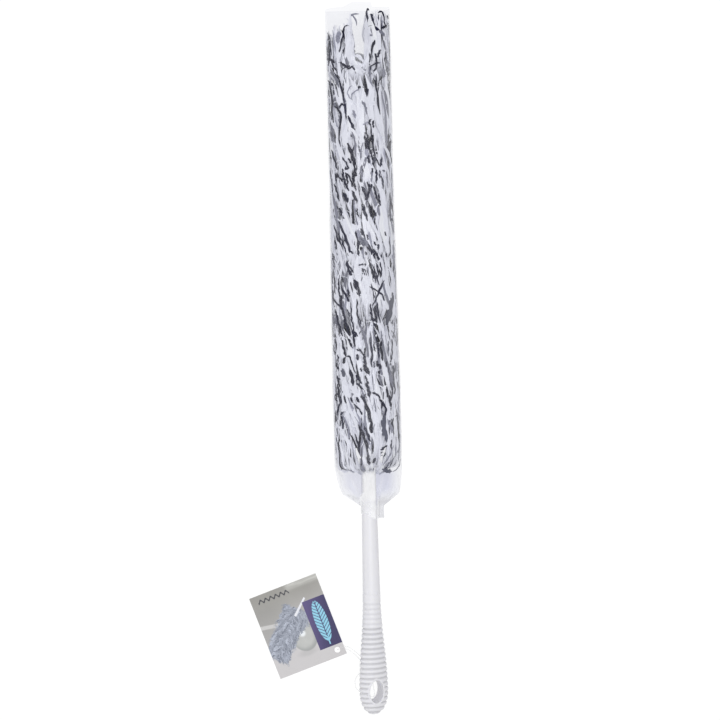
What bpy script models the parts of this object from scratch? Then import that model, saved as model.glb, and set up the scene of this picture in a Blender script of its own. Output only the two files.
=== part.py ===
"""Film-strip feather duster in its packing sleeve, with a swing tag on a loop string.

The duster lies along Y on the plane z = 0, with its tip at +Y. Places along it are stations:
the distance from the end of the handle. Metres, +Z up.
"""

import math

import bmesh
import bpy
from mathutils import Matrix, Vector

# Whole duster
TOTAL_LENGTH = 0.711
AXIS_HEIGHT = 0.015  # of the handle and rod, above the surface
GAP = 0.0003  # left between pieces that touch
CORE_SIDES = 32

# Handle grip: an oval section that is rolled about the duster's axis
GRIP_END = 0.1205
GRIP_ROLL = math.radians(20)
GRIP_SIDES = 28
GRIP_HALF_WIDTH = 0.0150
GRIP_HALF_THICKNESS = 0.0104
GRIP_NECK_RADIUS = 0.0089
GRIP_NOSE = 0.024  # length of the rounded end
GRIP_NOSE_POWER = 2.2
GRIP_SWELL_END = 0.118  # where the swelling has run out into the neck
RIB_PITCH = 0.0049
RIB_FIRST = 0.0030
RIB_COUNT = 23
RIB_DEPTH = 0.0009
SHALLOW_RIB_DEPTH = 0.0004
SHALLOW_RIBS = 5
HANG_HOLE = 0.024  # station of its centre
HANG_HOLE_LENGTH = 0.022
HANG_HOLE_WIDTH = 0.014

# Handle shaft, and the spigot that plugs it into the grip
SHAFT_END = 0.262
SHAFT_RADIUS_LOW = 0.0087
SHAFT_RADIUS_HIGH = 0.0072
SPIGOT_START = 0.062
SPIGOT_RADIUS = 0.0060

# Core rod and what is on it
ROD_START = 0.216
ROD_END = 0.652
ROD_RADIUS = 0.0050
CAP_START = 0.640
CAP_SHOULDER = 0.6525
CAP_END = 0.6610
CAP_RADIUS = 0.0082
RING_LENGTH = 0.005
RING_RADIUS = 0.0072
HEM_START = 0.270
HEM_END = 0.630
HEM_THICKNESS = 0.0011
HEM_WIDTH = 0.010
HEM_STEPS_PER_TURN = 16

# Feather tiers
TIER_COUNT = 8
TIERS_START = 0.246
TIERS_END = 0.694
TIER_SIDES = 28
TIER_CLEARANCE = 0.0016  # between a tier and the outside of the sleeve
TIER_ROOT_SHARE = 0.80  # how wide a tier's root is, as a share of its body
TIER_RAGGED = 0.004

# Packing sleeve: a tube of clear film, gathered round the shaft at its lower end
SLEEVE_START = 0.250
SLEEVE_HEIGHT = 0.044
SLEEVE_WALL = 0.0005
SLEEVE_SIDES = 48
SLEEVE_HALF_WIDTHS = (
    (0.250, 0.0340),
    (0.320, 0.0345),
    (0.450, 0.0335),
    (0.520, 0.0325),
    (0.711, 0.0330),
)
SLEEVE_WAIST = 0.018  # height at which the section is widest
SLEEVE_FLATNESS = 3.0  # exponent of the lower half of the section
SLEEVE_SAG = 0.0004  # how far that half would reach below the surface it lies on
NECK_SKIRT = 0.196
NECK_TIE = 0.206
NECK_RADIUS = 0.0088
NECK_POWER = 3.2
NECK_PLEATS = 12
NECK_PLEAT_DEPTH = 0.0012

# Swing tag, lying beside the grip
TAG_WIDTH = 0.072
TAG_HEIGHT = 0.087
TAG_THICKNESS = 0.0005
TAG_CENTRE = (-0.0750, 0.08675)  # across the duster, and station
TAG_TURN = math.radians(20.06)
TAG_LIFT = 0.0014  # of the edge that lies on the string
TAG_HOLE = (0.0284, -0.0366)  # from the tag's centre
TAG_HOLE_RADIUS = 0.003

# Loop string of the tag, with the lock that closes it
STRING_RADIUS = 0.0004
STRING_FLOOR = 0.00042  # lowest height of its centreline
STRING_STEP = 0.0023
LOCK_LENGTH = 0.0055
LOCK_RADIUS = 0.0011
LOCK_CENTRE = (-0.0104, 0.0472, 0.00115)  # across, station, height
LOCK_DIRECTION = (-0.58, 0.815)

# The string's route, as (across, station, height): from the lock along the floor to the tag,
# round through its hole, back under the grip, up the hang hole and over the wall beside it.
STRING_ROUTE = (
    (-0.01217, 0.04968, 0.00115),
    (-0.01420, 0.05240, 0.00080),
    (-0.01750, 0.05600, 0.00045),
    (-0.02150, 0.05950, 0.00043),
    (-0.02550, 0.06190, 0.00043),
    (-0.02920, 0.06250, 0.00043),
    (-0.03401, 0.06195, 0.00043),
    (-0.03582, 0.06209, 0.00207),
    (-0.03453, 0.06337, 0.00372),
    (-0.03122, 0.06452, 0.00320),
    (-0.02837, 0.06546, 0.00280),
    (-0.02450, 0.06460, 0.00140),
    (-0.02100, 0.06220, 0.00050),
    (-0.01650, 0.05850, 0.00043),
    (-0.01200, 0.05420, 0.00043),
    (-0.00820, 0.05000, 0.00043),
    (-0.00530, 0.04580, 0.00043),
    (-0.00300, 0.04100, 0.00043),
    (-0.00140, 0.03600, 0.00043),
    (-0.00070, 0.03100, 0.00043),
    (-0.00050, 0.02600, 0.00050),
    (0.00000, 0.02230, 0.00120),
    (0.00040, 0.02030, 0.00380),
    (0.00060, 0.01980, 0.00900),
    (0.00060, 0.01970, 0.01500),
    (0.00030, 0.01980, 0.02100),
    (-0.00060, 0.02020, 0.02540),
    (-0.00320, 0.02110, 0.02790),
    (-0.00700, 0.02230, 0.02830),
    (-0.01120, 0.02380, 0.02730),
    (-0.01520, 0.02580, 0.02440),
    (-0.01790, 0.02820, 0.01960),
    (-0.01860, 0.03090, 0.01360),
    (-0.01800, 0.03370, 0.00800),
    (-0.01590, 0.03640, 0.00370),
    (-0.01280, 0.03840, 0.00140),
    (-0.00990, 0.03950, 0.00080),
    (-0.00800, 0.04130, 0.00080),
    (-0.00780, 0.04310, 0.00100),
    (-0.00863, 0.04472, 0.00115),
)


def material(name, colour, roughness, metallic=0.0, alpha=1.0):
    made = bpy.data.materials.new(name)
    made.use_nodes = True
    shader = made.node_tree.nodes["Principled BSDF"]
    shader.inputs["Base Color"].default_value = (*colour, 1)
    shader.inputs["Roughness"].default_value = roughness
    shader.inputs["Metallic"].default_value = metallic
    shader.inputs["Alpha"].default_value = alpha
    return made


def at(across, station, height):
    """The point that lies across the axis, at a station and at a height above the surface."""
    return Vector((across, station - TOTAL_LENGTH / 2, height))


def smoothstep(share):
    share = min(max(share, 0.0), 1.0)
    return share * share * (3 - 2 * share)


def along(pairs, station):
    """The value at a station, from (station, value) pairs joined by straight lines."""
    for (low, value), (high, following) in zip(pairs, pairs[1:]):
        if station <= high:
            share = max(0.0, (station - low) / (high - low))
            return value + share * (following - value)
    return pairs[-1][1]


def turns(count):
    return [2 * math.pi * i / count for i in range(count)]


def oval(station, half_width, half_thickness, sides, roll=0.0):
    """An oval ring round the duster's axis. Roll tips its right side down."""
    points = []
    for angle in turns(sides):
        wide, thick = half_width * math.cos(angle), half_thickness * math.sin(angle)
        across = wide * math.cos(roll) + thick * math.sin(roll)
        up = thick * math.cos(roll) - wide * math.sin(roll)
        points.append(at(across, station, AXIS_HEIGHT + up))
    return points


def circle(station, radius, sides=CORE_SIDES):
    return oval(station, radius, radius, sides)


def skin(name, rings, paint, looped=False):
    """A closed body over a row of rings with equally many points: its ends are capped, or looped joins them."""
    mesh = bpy.data.meshes.new(name)
    form = bmesh.new()
    rows = [[form.verts.new(point) for point in ring] for ring in rings]
    following = rows[1:] + rows[:1] if looped else rows[1:]
    for row, after in zip(rows, following):
        for i in range(len(row)):
            j = (i + 1) % len(row)
            form.faces.new((row[i], row[j], after[j], after[i]))
    if not looped:
        form.faces.new(rows[0])
        form.faces.new(rows[-1])
    bmesh.ops.recalc_face_normals(form, faces=form.faces)
    form.to_mesh(mesh)
    form.free()
    mesh.shade_smooth()
    mesh.set_sharp_from_angle(angle=math.radians(35))
    return add(name, mesh, paint)


def add(name, data, paint):
    made = bpy.data.objects.new(name, data)
    made.data.materials.append(paint)
    bpy.context.scene.collection.objects.link(made)
    return made


def cut(piece, cutter):
    """Cuts cutter out of piece. The cutter itself isn't part of the object."""
    cutter.hide_render = True
    cutter.display_type = "WIRE"
    boolean = piece.modifiers.new("cut", "BOOLEAN")
    boolean.operation = "DIFFERENCE"
    boolean.object = cutter


def grip_size(station):
    """(half-width, half-thickness) of the grip without its ribs."""
    swell = 1 - smoothstep((station - GRIP_NOSE) / (GRIP_SWELL_END - GRIP_NOSE))
    nose = max(0.0, 1 - station / GRIP_NOSE)
    nose = (1 - nose**GRIP_NOSE_POWER) ** (1 / GRIP_NOSE_POWER)
    wide = GRIP_NECK_RADIUS + (GRIP_HALF_WIDTH - GRIP_NECK_RADIUS) * swell
    thick = GRIP_NECK_RADIUS + (GRIP_HALF_THICKNESS - GRIP_NECK_RADIUS) * swell
    return wide * nose, thick * nose


def make_grip(paint):
    rings = [oval(0.0, 0.003, 0.002, GRIP_SIDES, GRIP_ROLL)]
    for rib in range(RIB_COUNT):
        shallow = rib >= RIB_COUNT - SHALLOW_RIBS
        depth = SHALLOW_RIB_DEPTH if shallow else RIB_DEPTH
        for share, sunk in ((0.0, depth), (0.3, 0.0), (0.75, 0.0)):
            station = RIB_FIRST + (rib + share) * RIB_PITCH
            wide, thick = grip_size(station)
            rings.append(oval(station, wide - sunk, thick - sunk, GRIP_SIDES, GRIP_ROLL))
    rings.append(circle(GRIP_END, GRIP_NECK_RADIUS, GRIP_SIDES))
    socket = SPIGOT_RADIUS + GAP
    rings.append(circle(GRIP_END, socket, GRIP_SIDES))
    rings.append(circle(SPIGOT_START - GAP, socket, GRIP_SIDES))
    grip = skin("handle_grip", rings, paint)

    reach = 2 * GRIP_HALF_WIDTH
    rise = Vector((math.sin(GRIP_ROLL), 0, math.cos(GRIP_ROLL)))
    sideways = Vector((math.cos(GRIP_ROLL), 0, -math.sin(GRIP_ROLL)))
    hole = []
    for end in (-reach, reach):
        ring = []
        for angle in turns(CORE_SIDES):
            wide = HANG_HOLE_WIDTH / 2 * math.cos(angle)
            long = HANG_HOLE_LENGTH / 2 * math.sin(angle)
            centre = at(0, HANG_HOLE + long, AXIS_HEIGHT)
            ring.append(centre + sideways * wide + rise * end)
        hole.append(ring)
    cut(grip, skin("hang_hole_cutter", hole, paint))


def make_shaft(paint):
    rod_bore = ROD_RADIUS + GAP
    profile = (
        (SPIGOT_START, SPIGOT_RADIUS - 0.0008),
        (SPIGOT_START + 0.001, SPIGOT_RADIUS),
        (GRIP_END + GAP, SPIGOT_RADIUS),
        (GRIP_END + GAP, SHAFT_RADIUS_LOW - 0.0002),
        (GRIP_END + 0.0007, SHAFT_RADIUS_LOW),
        (NECK_TIE, 0.0076),
        (SHAFT_END - 0.001, SHAFT_RADIUS_HIGH),
        (SHAFT_END, SHAFT_RADIUS_HIGH - 0.0008),
        (SHAFT_END, rod_bore),
        (ROD_START - GAP, rod_bore),
    )
    skin("handle_shaft", [circle(*row) for row in profile], paint)


def make_rod(paint):
    chamfer = 0.0006
    profile = (
        (ROD_START, ROD_RADIUS - chamfer),
        (ROD_START + chamfer, ROD_RADIUS),
        (ROD_END - chamfer, ROD_RADIUS),
        (ROD_END, ROD_RADIUS - chamfer),
    )
    skin("core_rod", [circle(*row) for row in profile], paint)


def make_tip_cap(paint):
    bore = ROD_RADIUS + GAP
    rings = [circle(ROD_END + GAP, bore), circle(CAP_START, bore)]
    rings += [circle(CAP_START, CAP_RADIUS - 0.0006), circle(CAP_START + 0.0006, CAP_RADIUS)]
    for step in range(7):
        angle = math.radians(13 * step)
        rise = (CAP_END - CAP_SHOULDER) * math.sin(angle)
        rings.append(circle(CAP_SHOULDER + rise, CAP_RADIUS * math.cos(angle)))
    skin("tip_cap", rings, paint)


def make_retaining_ring(name, station, paint):
    bore, edge = ROD_RADIUS + GAP, 0.0006
    profile = (
        (station, bore),
        (station, RING_RADIUS - edge),
        (station + edge, RING_RADIUS),
        (station + RING_LENGTH - edge, RING_RADIUS),
        (station + RING_LENGTH, RING_RADIUS - edge),
        (station + RING_LENGTH, bore),
    )
    skin(name, [circle(*row) for row in profile], paint, looped=True)


def make_hem(paint):
    """The sealed edge of the fringe, wound round the rod once for each tier."""
    inner = ROD_RADIUS + GAP
    outer = inner + HEM_THICKNESS
    steps = TIER_COUNT * HEM_STEPS_PER_TURN
    rings = []
    for step in range(steps + 1):
        angle = 2 * math.pi * step / HEM_STEPS_PER_TURN
        low = HEM_START + (HEM_END - HEM_WIDTH - HEM_START) * step / steps
        corners = ((inner, low), (outer, low), (outer, low + HEM_WIDTH), (inner, low + HEM_WIDTH))
        rings.append(
            [at(r * math.cos(angle), s, AXIS_HEIGHT + r * math.sin(angle)) for r, s in corners]
        )
    skin("fringe_hem", rings, paint)


def sleeve_section(station, inset, sides):
    """The sleeve's ring at a station, drawn in by inset: round above, nearly flat below."""
    wide = along(SLEEVE_HALF_WIDTHS, station) - inset
    points = []
    for angle in turns(sides):
        across, up = math.cos(angle), math.sin(angle)
        if up >= 0:
            height = SLEEVE_WAIST + (SLEEVE_HEIGHT - SLEEVE_WAIST - inset) * up
        else:
            power = 2 / SLEEVE_FLATNESS
            drop = SLEEVE_WAIST + SLEEVE_SAG
            across = math.copysign(abs(across) ** power, across)
            height = max(inset, SLEEVE_WAIST - drop * abs(up) ** power)
        points.append(at(wide * across, station, height))
    return points


def make_tier(number, paint):
    pitch = (TIERS_END - TIERS_START) / TIER_COUNT
    low = TIERS_START + pitch * number
    high = low + pitch - GAP
    if number == 0:
        bore = SHAFT_RADIUS_HIGH + 2 * GAP
    elif high > CAP_START:
        bore = CAP_RADIUS + GAP
    else:
        bore = ROD_RADIUS + 2 * GAP + HEM_THICKNESS
        bore = max(bore, RING_RADIUS + GAP)
    rings = []
    for share, width in ((0.0, TIER_ROOT_SHARE), (0.12, 0.93), (0.35, 1.0), (1.0, 1.0)):
        station = low + share * (high - low)
        inset = TIER_CLEARANCE + (1 - width) * SLEEVE_HEIGHT / 2
        ring = sleeve_section(station, inset, TIER_SIDES)
        if share == 1.0:
            for tooth in ring[::2]:
                tooth.y -= TIER_RAGGED
        rings.append(ring)
    rings.append(circle(high - TIER_RAGGED, bore, TIER_SIDES))
    rings.append(circle(low, bore, TIER_SIDES))
    skin(f"feather_tier_{number + 1:02d}", rings, paint, looped=True)


def make_sleeve_tube(paint):
    stations = [station for station, _ in SLEEVE_HALF_WIDTHS]
    outer = [sleeve_section(s, 0.0, SLEEVE_SIDES) for s in stations]
    inner = [sleeve_section(s, SLEEVE_WALL, SLEEVE_SIDES) for s in reversed(stations)]
    skin("sleeve_tube", outer + inner, paint, looped=True)


def neck_ring(station, inset):
    """From the round gather on the shaft to the sleeve's own section, with pleats between."""
    top = SLEEVE_START - GAP
    share = max(0.0, (station - NECK_TIE) / (top - NECK_TIE))
    opened = 1 - (1 - share) ** NECK_POWER
    gather = circle(station, NECK_RADIUS - inset, SLEEVE_SIDES)
    full = sleeve_section(SLEEVE_START, inset, SLEEVE_SIDES)
    depth = NECK_PLEAT_DEPTH * math.sin(math.pi * share)
    ring = []
    for angle, small, large in zip(turns(SLEEVE_SIDES), gather, full):
        large.y = small.y
        middle = at(0, station, AXIS_HEIGHT + 0.004 * opened)
        point = small.lerp(large, opened)
        pleat = depth * (1 + math.cos(NECK_PLEATS * angle)) / 2
        ring.append(point + (middle - point).normalized() * pleat)
    return ring


def make_sleeve_neck(paint):
    top = SLEEVE_START - GAP
    stations = [NECK_SKIRT, NECK_TIE]
    stations += [NECK_TIE + (top - NECK_TIE) * share for share in (0.12, 0.3, 0.55, 0.8, 1.0)]
    outer = [neck_ring(s, 0.0) for s in stations]
    inner = [neck_ring(s, SLEEVE_WALL) for s in reversed(stations)]
    skin("sleeve_neck", outer + inner, paint, looped=True)


def tag_matrix():
    """Places the tag: turned on the surface, with its right-hand edge lifted onto the string."""
    tilt = math.asin(TAG_LIFT / TAG_WIDTH)
    middle = at(*TAG_CENTRE, (TAG_LIFT + TAG_THICKNESS) / 2)
    turn = Matrix.Rotation(TAG_TURN, 4, "Z") @ Matrix.Rotation(-tilt, 4, "Y")
    return Matrix.Translation(middle) @ turn


def make_tag(paint):
    half_width, half_height, half_thickness = TAG_WIDTH / 2, TAG_HEIGHT / 2, TAG_THICKNESS / 2
    corners = ((-1, -1), (1, -1), (1, 1), (-1, 1))
    plate = [
        [(half_width * x, half_height * y, z) for x, y in corners]
        for z in (-half_thickness, half_thickness)
    ]
    tag = skin("tag_card", plate, paint)
    hole = [
        [
            (
                TAG_HOLE[0] + TAG_HOLE_RADIUS * math.cos(angle),
                TAG_HOLE[1] + TAG_HOLE_RADIUS * math.sin(angle),
                z,
            )
            for angle in turns(24)
        ]
        for z in (-4 * TAG_THICKNESS, 4 * TAG_THICKNESS)
    ]
    cutter = skin("tag_hole_cutter", hole, paint)
    for piece in (tag, cutter):
        piece.matrix_world = tag_matrix()
    cut(tag, cutter)


def smooth_route(points, step):
    """Points at even steps along a smooth curve through the given ones."""
    fine = []
    padded = [2 * points[0] - points[1], *points, 2 * points[-1] - points[-2]]
    for before, start, end, after in zip(padded, padded[1:], padded[2:], padded[3:]):
        for i in range(20):
            t = i / 20
            fine.append(
                0.5
                * (
                    2 * start
                    + (end - before) * t
                    + (2 * before - 5 * start + 4 * end - after) * t**2
                    + (3 * start - before - 3 * end + after) * t**3
                )
            )
    fine.append(points[-1])
    lengths = [0.0]
    for one, two in zip(fine, fine[1:]):
        lengths.append(lengths[-1] + (two - one).length)
    count = round(lengths[-1] / step)
    even, place = [fine[0]], 0
    for i in range(1, count):
        target = lengths[-1] * i / count
        while lengths[place + 1] < target:
            place += 1
        share = (target - lengths[place]) / (lengths[place + 1] - lengths[place])
        even.append(fine[place].lerp(fine[place + 1], share))
    return [*even, fine[-1]]


def make_string(paint):
    points = smooth_route([at(*place) for place in STRING_ROUTE], STRING_STEP)
    curve = bpy.data.curves.new("tag_string", "CURVE")
    curve.dimensions = "3D"
    curve.bevel_depth = STRING_RADIUS
    curve.bevel_resolution = 2
    curve.use_fill_caps = True
    line = curve.splines.new("POLY")
    line.points.add(len(points) - 1)
    for spot, point in zip(line.points, points):
        spot.co = (point.x, point.y, max(point.z, STRING_FLOOR), 1)
    add("tag_string", curve, paint)


def make_lock(paint):
    """The barrel that joins the string's two ends."""
    forward = Vector((*LOCK_DIRECTION, 0)).normalized()
    side = forward.cross(Vector((0, 0, 1)))
    half = LOCK_LENGTH / 2
    profile = ((-half, 0.6), (-half + 0.0004, 0.85), (-0.0007, 0.85), (-0.0004, 1.0))
    profile += tuple((-place, share) for place, share in reversed(profile))
    rings = [
        [
            at(*LOCK_CENTRE)
            + forward * place
            + (side * math.cos(angle) + Vector((0, 0, 1)) * math.sin(angle)) * LOCK_RADIUS * share
            for angle in turns(16)
        ]
        for place, share in profile
    ]
    skin("string_lock", rings, paint)


def main():
    for thing in list(bpy.data.objects):
        bpy.data.objects.remove(thing)
    handle_plastic = material("handle_plastic", (0.82, 0.82, 0.85), 0.35)
    rod_plastic = material("rod_plastic", (0.75, 0.75, 0.77), 0.45)
    cap_plastic = material("cap_plastic", (0.78, 0.79, 0.82), 0.40)
    ring_metal = material("ring_metal", (0.60, 0.61, 0.63), 0.30, metallic=1.0)
    strip_film = material("strip_film", (0.72, 0.72, 0.80), 0.35)
    clear_film = material("clear_film", (0.90, 0.91, 0.94), 0.10, alpha=0.3)
    tag_print = material("tag_print", (0.70, 0.70, 0.71), 0.40)
    string_nylon = material("string_nylon", (0.92, 0.93, 0.94), 0.20, alpha=0.6)

    make_grip(handle_plastic)
    make_shaft(handle_plastic)
    make_rod(rod_plastic)
    make_tip_cap(cap_plastic)
    make_retaining_ring("lower_retaining_ring", SHAFT_END + GAP, ring_metal)
    make_retaining_ring("upper_retaining_ring", CAP_START - RING_LENGTH - GAP, ring_metal)
    make_hem(strip_film)
    for number in range(TIER_COUNT):
        make_tier(number, strip_film)
    make_sleeve_tube(clear_film)
    make_sleeve_neck(clear_film)
    make_tag(tag_print)
    make_string(string_nylon)
    make_lock(string_nylon)


main()
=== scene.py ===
import functools
import math

import bmesh
import bpy
import numpy as np
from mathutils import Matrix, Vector


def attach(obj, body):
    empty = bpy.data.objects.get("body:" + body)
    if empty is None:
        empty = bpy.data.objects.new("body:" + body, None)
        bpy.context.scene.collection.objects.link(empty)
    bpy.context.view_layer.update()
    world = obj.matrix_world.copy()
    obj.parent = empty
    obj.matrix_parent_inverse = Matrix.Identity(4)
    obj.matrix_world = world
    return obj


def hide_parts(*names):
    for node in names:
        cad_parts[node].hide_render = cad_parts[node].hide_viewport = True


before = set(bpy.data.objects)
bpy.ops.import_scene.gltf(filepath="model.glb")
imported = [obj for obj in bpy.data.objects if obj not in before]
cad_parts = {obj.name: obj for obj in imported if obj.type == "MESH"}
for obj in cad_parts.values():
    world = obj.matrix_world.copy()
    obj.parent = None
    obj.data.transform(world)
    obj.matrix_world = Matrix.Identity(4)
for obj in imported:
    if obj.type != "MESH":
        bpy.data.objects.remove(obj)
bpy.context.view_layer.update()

# The duster lies along Y on the plane z = 0, with its tip at +Y. Places along it are stations:
# the distance from the end of the handle. Metres.
TOTAL_LENGTH = 0.711
AXIS_HEIGHT = 0.015

# Grip
GRIP_TIP = 0.00025
GRIP_START = 0.0008
GRIP_END = 0.1205
GRIP_EDGE = 0.0003
GRIP_ROLL = math.radians(20)
GRIP_HALF_WIDTH = 0.0150
GRIP_HALF_THICKNESS = 0.0104
GRIP_NECK_RADIUS = 0.0089
GRIP_NOSE = 0.024
GRIP_NOSE_POWER = 2.2
GRIP_SWELL_END = 0.118
GRIP_SIDES = 120
GRIP_ROWS = 360
GRIP_VOXEL = 0.00042
RIB_PITCH = 0.0049
RIB_FIRST = 0.0030
RIB_COUNT = 23
RIB_DEPTH = 0.0012
SHALLOW_RIB_DEPTH = 0.00045
SHALLOW_RIBS = 5
GROOVE_SHARE = 0.36  # half a groove's width, as a share of the pitch
HANG_HOLE = 0.024
HANG_HOLE_LENGTH = 0.022
HANG_HOLE_WIDTH = 0.014
HOLE_LIP = 0.0016  # smooth border round the hole, without ribs
HOLE_SIDES = 64
# The hole's flare: height over the grip's middle, and how much further out its wall is there
HOLE_FLARE = ((-0.030, 0.0030), (-0.0108, 0.0020), (-0.0094, 0.0004), (-0.0080, 0.0))

# Shaft, rod and cap
SHAFT_START = GRIP_END + 0.00006
SHAFT_END = 0.262
SHAFT_RADIUS_LOW = 0.0087
SHAFT_RADIUS_TIE = 0.0076  # where the sleeve is gathered round it
SHAFT_RADIUS_HIGH = 0.0072
SHAFT_SIDES = 96
SPIGOT_START = 0.062
SPIGOT_RADIUS = 0.0060
GAP = 0.0003
ROD_START = 0.216
ROD_END = 0.652
ROD_RADIUS = 0.0050
CAP_START = 0.640
CAP_SHOULDER = 0.6525
CAP_END = 0.6610
CAP_RADIUS = 0.0082
CAP_SIDES = 96
FLUTES = 14
FLUTE_DEPTH = 0.035  # as a share of the radius
FLUTE_TWIST = 75  # radians for each metre

# Sleeve
SLEEVE_STATIONS = (0.250, 0.320, 0.450, 0.520, 0.711)
SLEEVE_HALF_WIDTHS = (0.0340, 0.0345, 0.0335, 0.0325, 0.0330)
SLEEVE_HEIGHT = 0.044
SLEEVE_WAIST = 0.018
SLEEVE_FLATNESS = 3.0
SLEEVE_SAG = 0.0004
NECK_TIE = 0.206  # the station where it is tied round the shaft
NECK_CLOSED = 0.2075  # the film is fully gathered from here down
NECK_TOP = 0.250
NECK_BODY = 0.0086  # half-height of the film where it is gathered
NECK_STATIONS = (0.196, 0.207, 0.2085, 0.220, 0.227, 0.2375, 0.250)
NECK_LEFT = (0.0084, 0.0083, 0.0088, 0.0262, 0.0293, 0.0318, 0.0338)
NECK_RIGHT = (0.0146, 0.0146, 0.0150, 0.0300, 0.0318, 0.0330, 0.0338)
FILM_INSET = 0.0005
FILM_FLOOR = 0.0003
FILM_SIDES = 260
FILM_ROWS = 221  # along the tube
NECK_ROWS = 79  # along its gathered neck
FILM_CREASES = 110  # random ones
FILM_SEED = 7
FOLDS = (  # ridges on the upper side: from and to (across, station), half-width, height
    (-0.0120, 0.2194, 0.0050, 0.2035, 0.0009, 0.0010),
    (-0.0250, 0.2330, -0.0095, 0.2120, 0.0011, 0.0009),
    (0.0235, 0.2300, 0.0115, 0.2100, 0.0012, 0.0009),
    (-0.0190, 0.2420, -0.0080, 0.2160, 0.0014, -0.0009),
    (0.0150, 0.2440, 0.0080, 0.2130, 0.0013, -0.0010),
    (0.0205, 0.2260, 0.0085, 0.2180, 0.0010, 0.0007),
    (-0.0040, 0.2440, -0.0025, 0.2160, 0.0010, 0.0006),
    (0.0040, 0.2400, 0.0062, 0.2100, 0.0009, 0.0006),
)

# Strips of film that make up the head
STRIP_CLEARANCE = 0.0013  # from the sleeve's outside
STRIP_THICKNESS = 0.00022
STRIP_LAYER = 0.0002  # how far a strip's two faces keep apart where it is pressed flat
RIBBON = ((-1, 1), (0, 1), (1, 1), (1, -1), (0, -1), (-1, -1))  # its section: (across, face)
STRIP_FLOOR = 0.0008
STRIP_SEED = 40
ROOT_DEPTH = 0.22  # where strips start, as a share of the way out to the sleeve
DEPTH_LIMIT = 0.984
TIER_TIPS = (0.312, 0.346, 0.388, 0.456, 0.510, 0.572, 0.630, 0.684)
LAST_TIER = len(TIER_TIPS) - 1
TIER_REACH = 0.074  # a strip's usual length
TIER_HOOK = 0.050  # the part of the first tier's strips that hooks back
FIRST_ROOT, LAST_ROOT = 0.266, 0.632
TIER_DARKS = (40, 96, 124, 136, 136, 118, 92, 48)  # slim dark strips in each tier
TIER_DEEP_DARKS = (44, 44, 44, 44, 44, 40, 28, 14)  # wider ones, deeper in
TIER_THINNED = (0.5, 0.35, 0.9, 0.72, 0.8, 0.66, 0.85, 0.75)  # share of slim ones left out on top
TIP_LIMIT_ACROSS = (-0.033, -0.024, -0.014, -0.011, 0.007, 0.011, 0.020, 0.033)
TIP_LIMIT = (0.681, 0.688, 0.690, 0.662, 0.660, 0.700, 0.705, 0.702)
PALE = np.array((0.89, 0.90, 0.965))
MID = np.array((0.27, 0.275, 0.34))
SLATE = np.array((0.085, 0.09, 0.125))
DARK = np.array((0.008, 0.009, 0.030))

# Tag
TAG_CENTRE = (-0.0750, 0.08675)
TAG_TURN = math.radians(20.06)

# String: radius, lowest height of its line, and its route as (across, station, height)
STRING_RADIUS = 0.0004
STRING_FLOOR = 0.00042
STRING_STEP = 0.00115
STRING_ROUTE = (
    (-0.01217, 0.04968, 0.00115),
    (-0.01420, 0.05240, 0.00080),
    (-0.01750, 0.05600, 0.00045),
    (-0.02150, 0.05950, 0.00043),
    (-0.02550, 0.06190, 0.00043),
    (-0.02920, 0.06250, 0.00043),
    (-0.03401, 0.06195, 0.00043),
    (-0.03582, 0.06209, 0.00207),
    (-0.03453, 0.06337, 0.00372),
    (-0.03122, 0.06452, 0.00320),
    (-0.02837, 0.06546, 0.00280),
    (-0.02450, 0.06460, 0.00140),
    (-0.02100, 0.06220, 0.00050),
    (-0.01650, 0.05850, 0.00043),
    (-0.01200, 0.05420, 0.00043),
    (-0.00820, 0.05000, 0.00043),
    (-0.00530, 0.04580, 0.00043),
    (-0.00300, 0.04100, 0.00043),
    (-0.00140, 0.03600, 0.00043),
    (-0.00070, 0.03100, 0.00043),
    (-0.00050, 0.02600, 0.00050),
    (0.00000, 0.02230, 0.00120),
    (0.00040, 0.02030, 0.00380),
    (0.00060, 0.01980, 0.00900),
    (0.00060, 0.01970, 0.01500),
    (0.00030, 0.01980, 0.02100),
    (-0.00060, 0.02020, 0.02540),
    (-0.00320, 0.02110, 0.02790),
    (-0.00700, 0.02230, 0.02830),
    (-0.01120, 0.02380, 0.02730),
    (-0.01520, 0.02580, 0.02440),
    (-0.01790, 0.02820, 0.01960),
    (-0.01860, 0.03090, 0.01360),
    (-0.01800, 0.03370, 0.00800),
    (-0.01590, 0.03640, 0.00370),
    (-0.01280, 0.03840, 0.00140),
    (-0.00990, 0.03950, 0.00080),
    (-0.00800, 0.04130, 0.00080),
    (-0.00780, 0.04310, 0.00100),
    (-0.00863, 0.04472, 0.00115),
)

# Floor
FLOOR_SIDE = 6.0
FLOOR_HEIGHT = -0.0004

TURN = 2 * math.pi


def at(across, station, height):
    return Vector((across, station - TOTAL_LENGTH / 2, height))


def smoothstep(share):
    share = np.clip(share, 0.0, 1.0)
    return share * share * (3 - 2 * share)


def ease(value, start, over):
    """0 up to start and 1 from start + over, smooth between. A negative over goes downwards."""
    return smoothstep((value - start) / over)


# ---------------------------------------------------------------- materials


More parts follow.
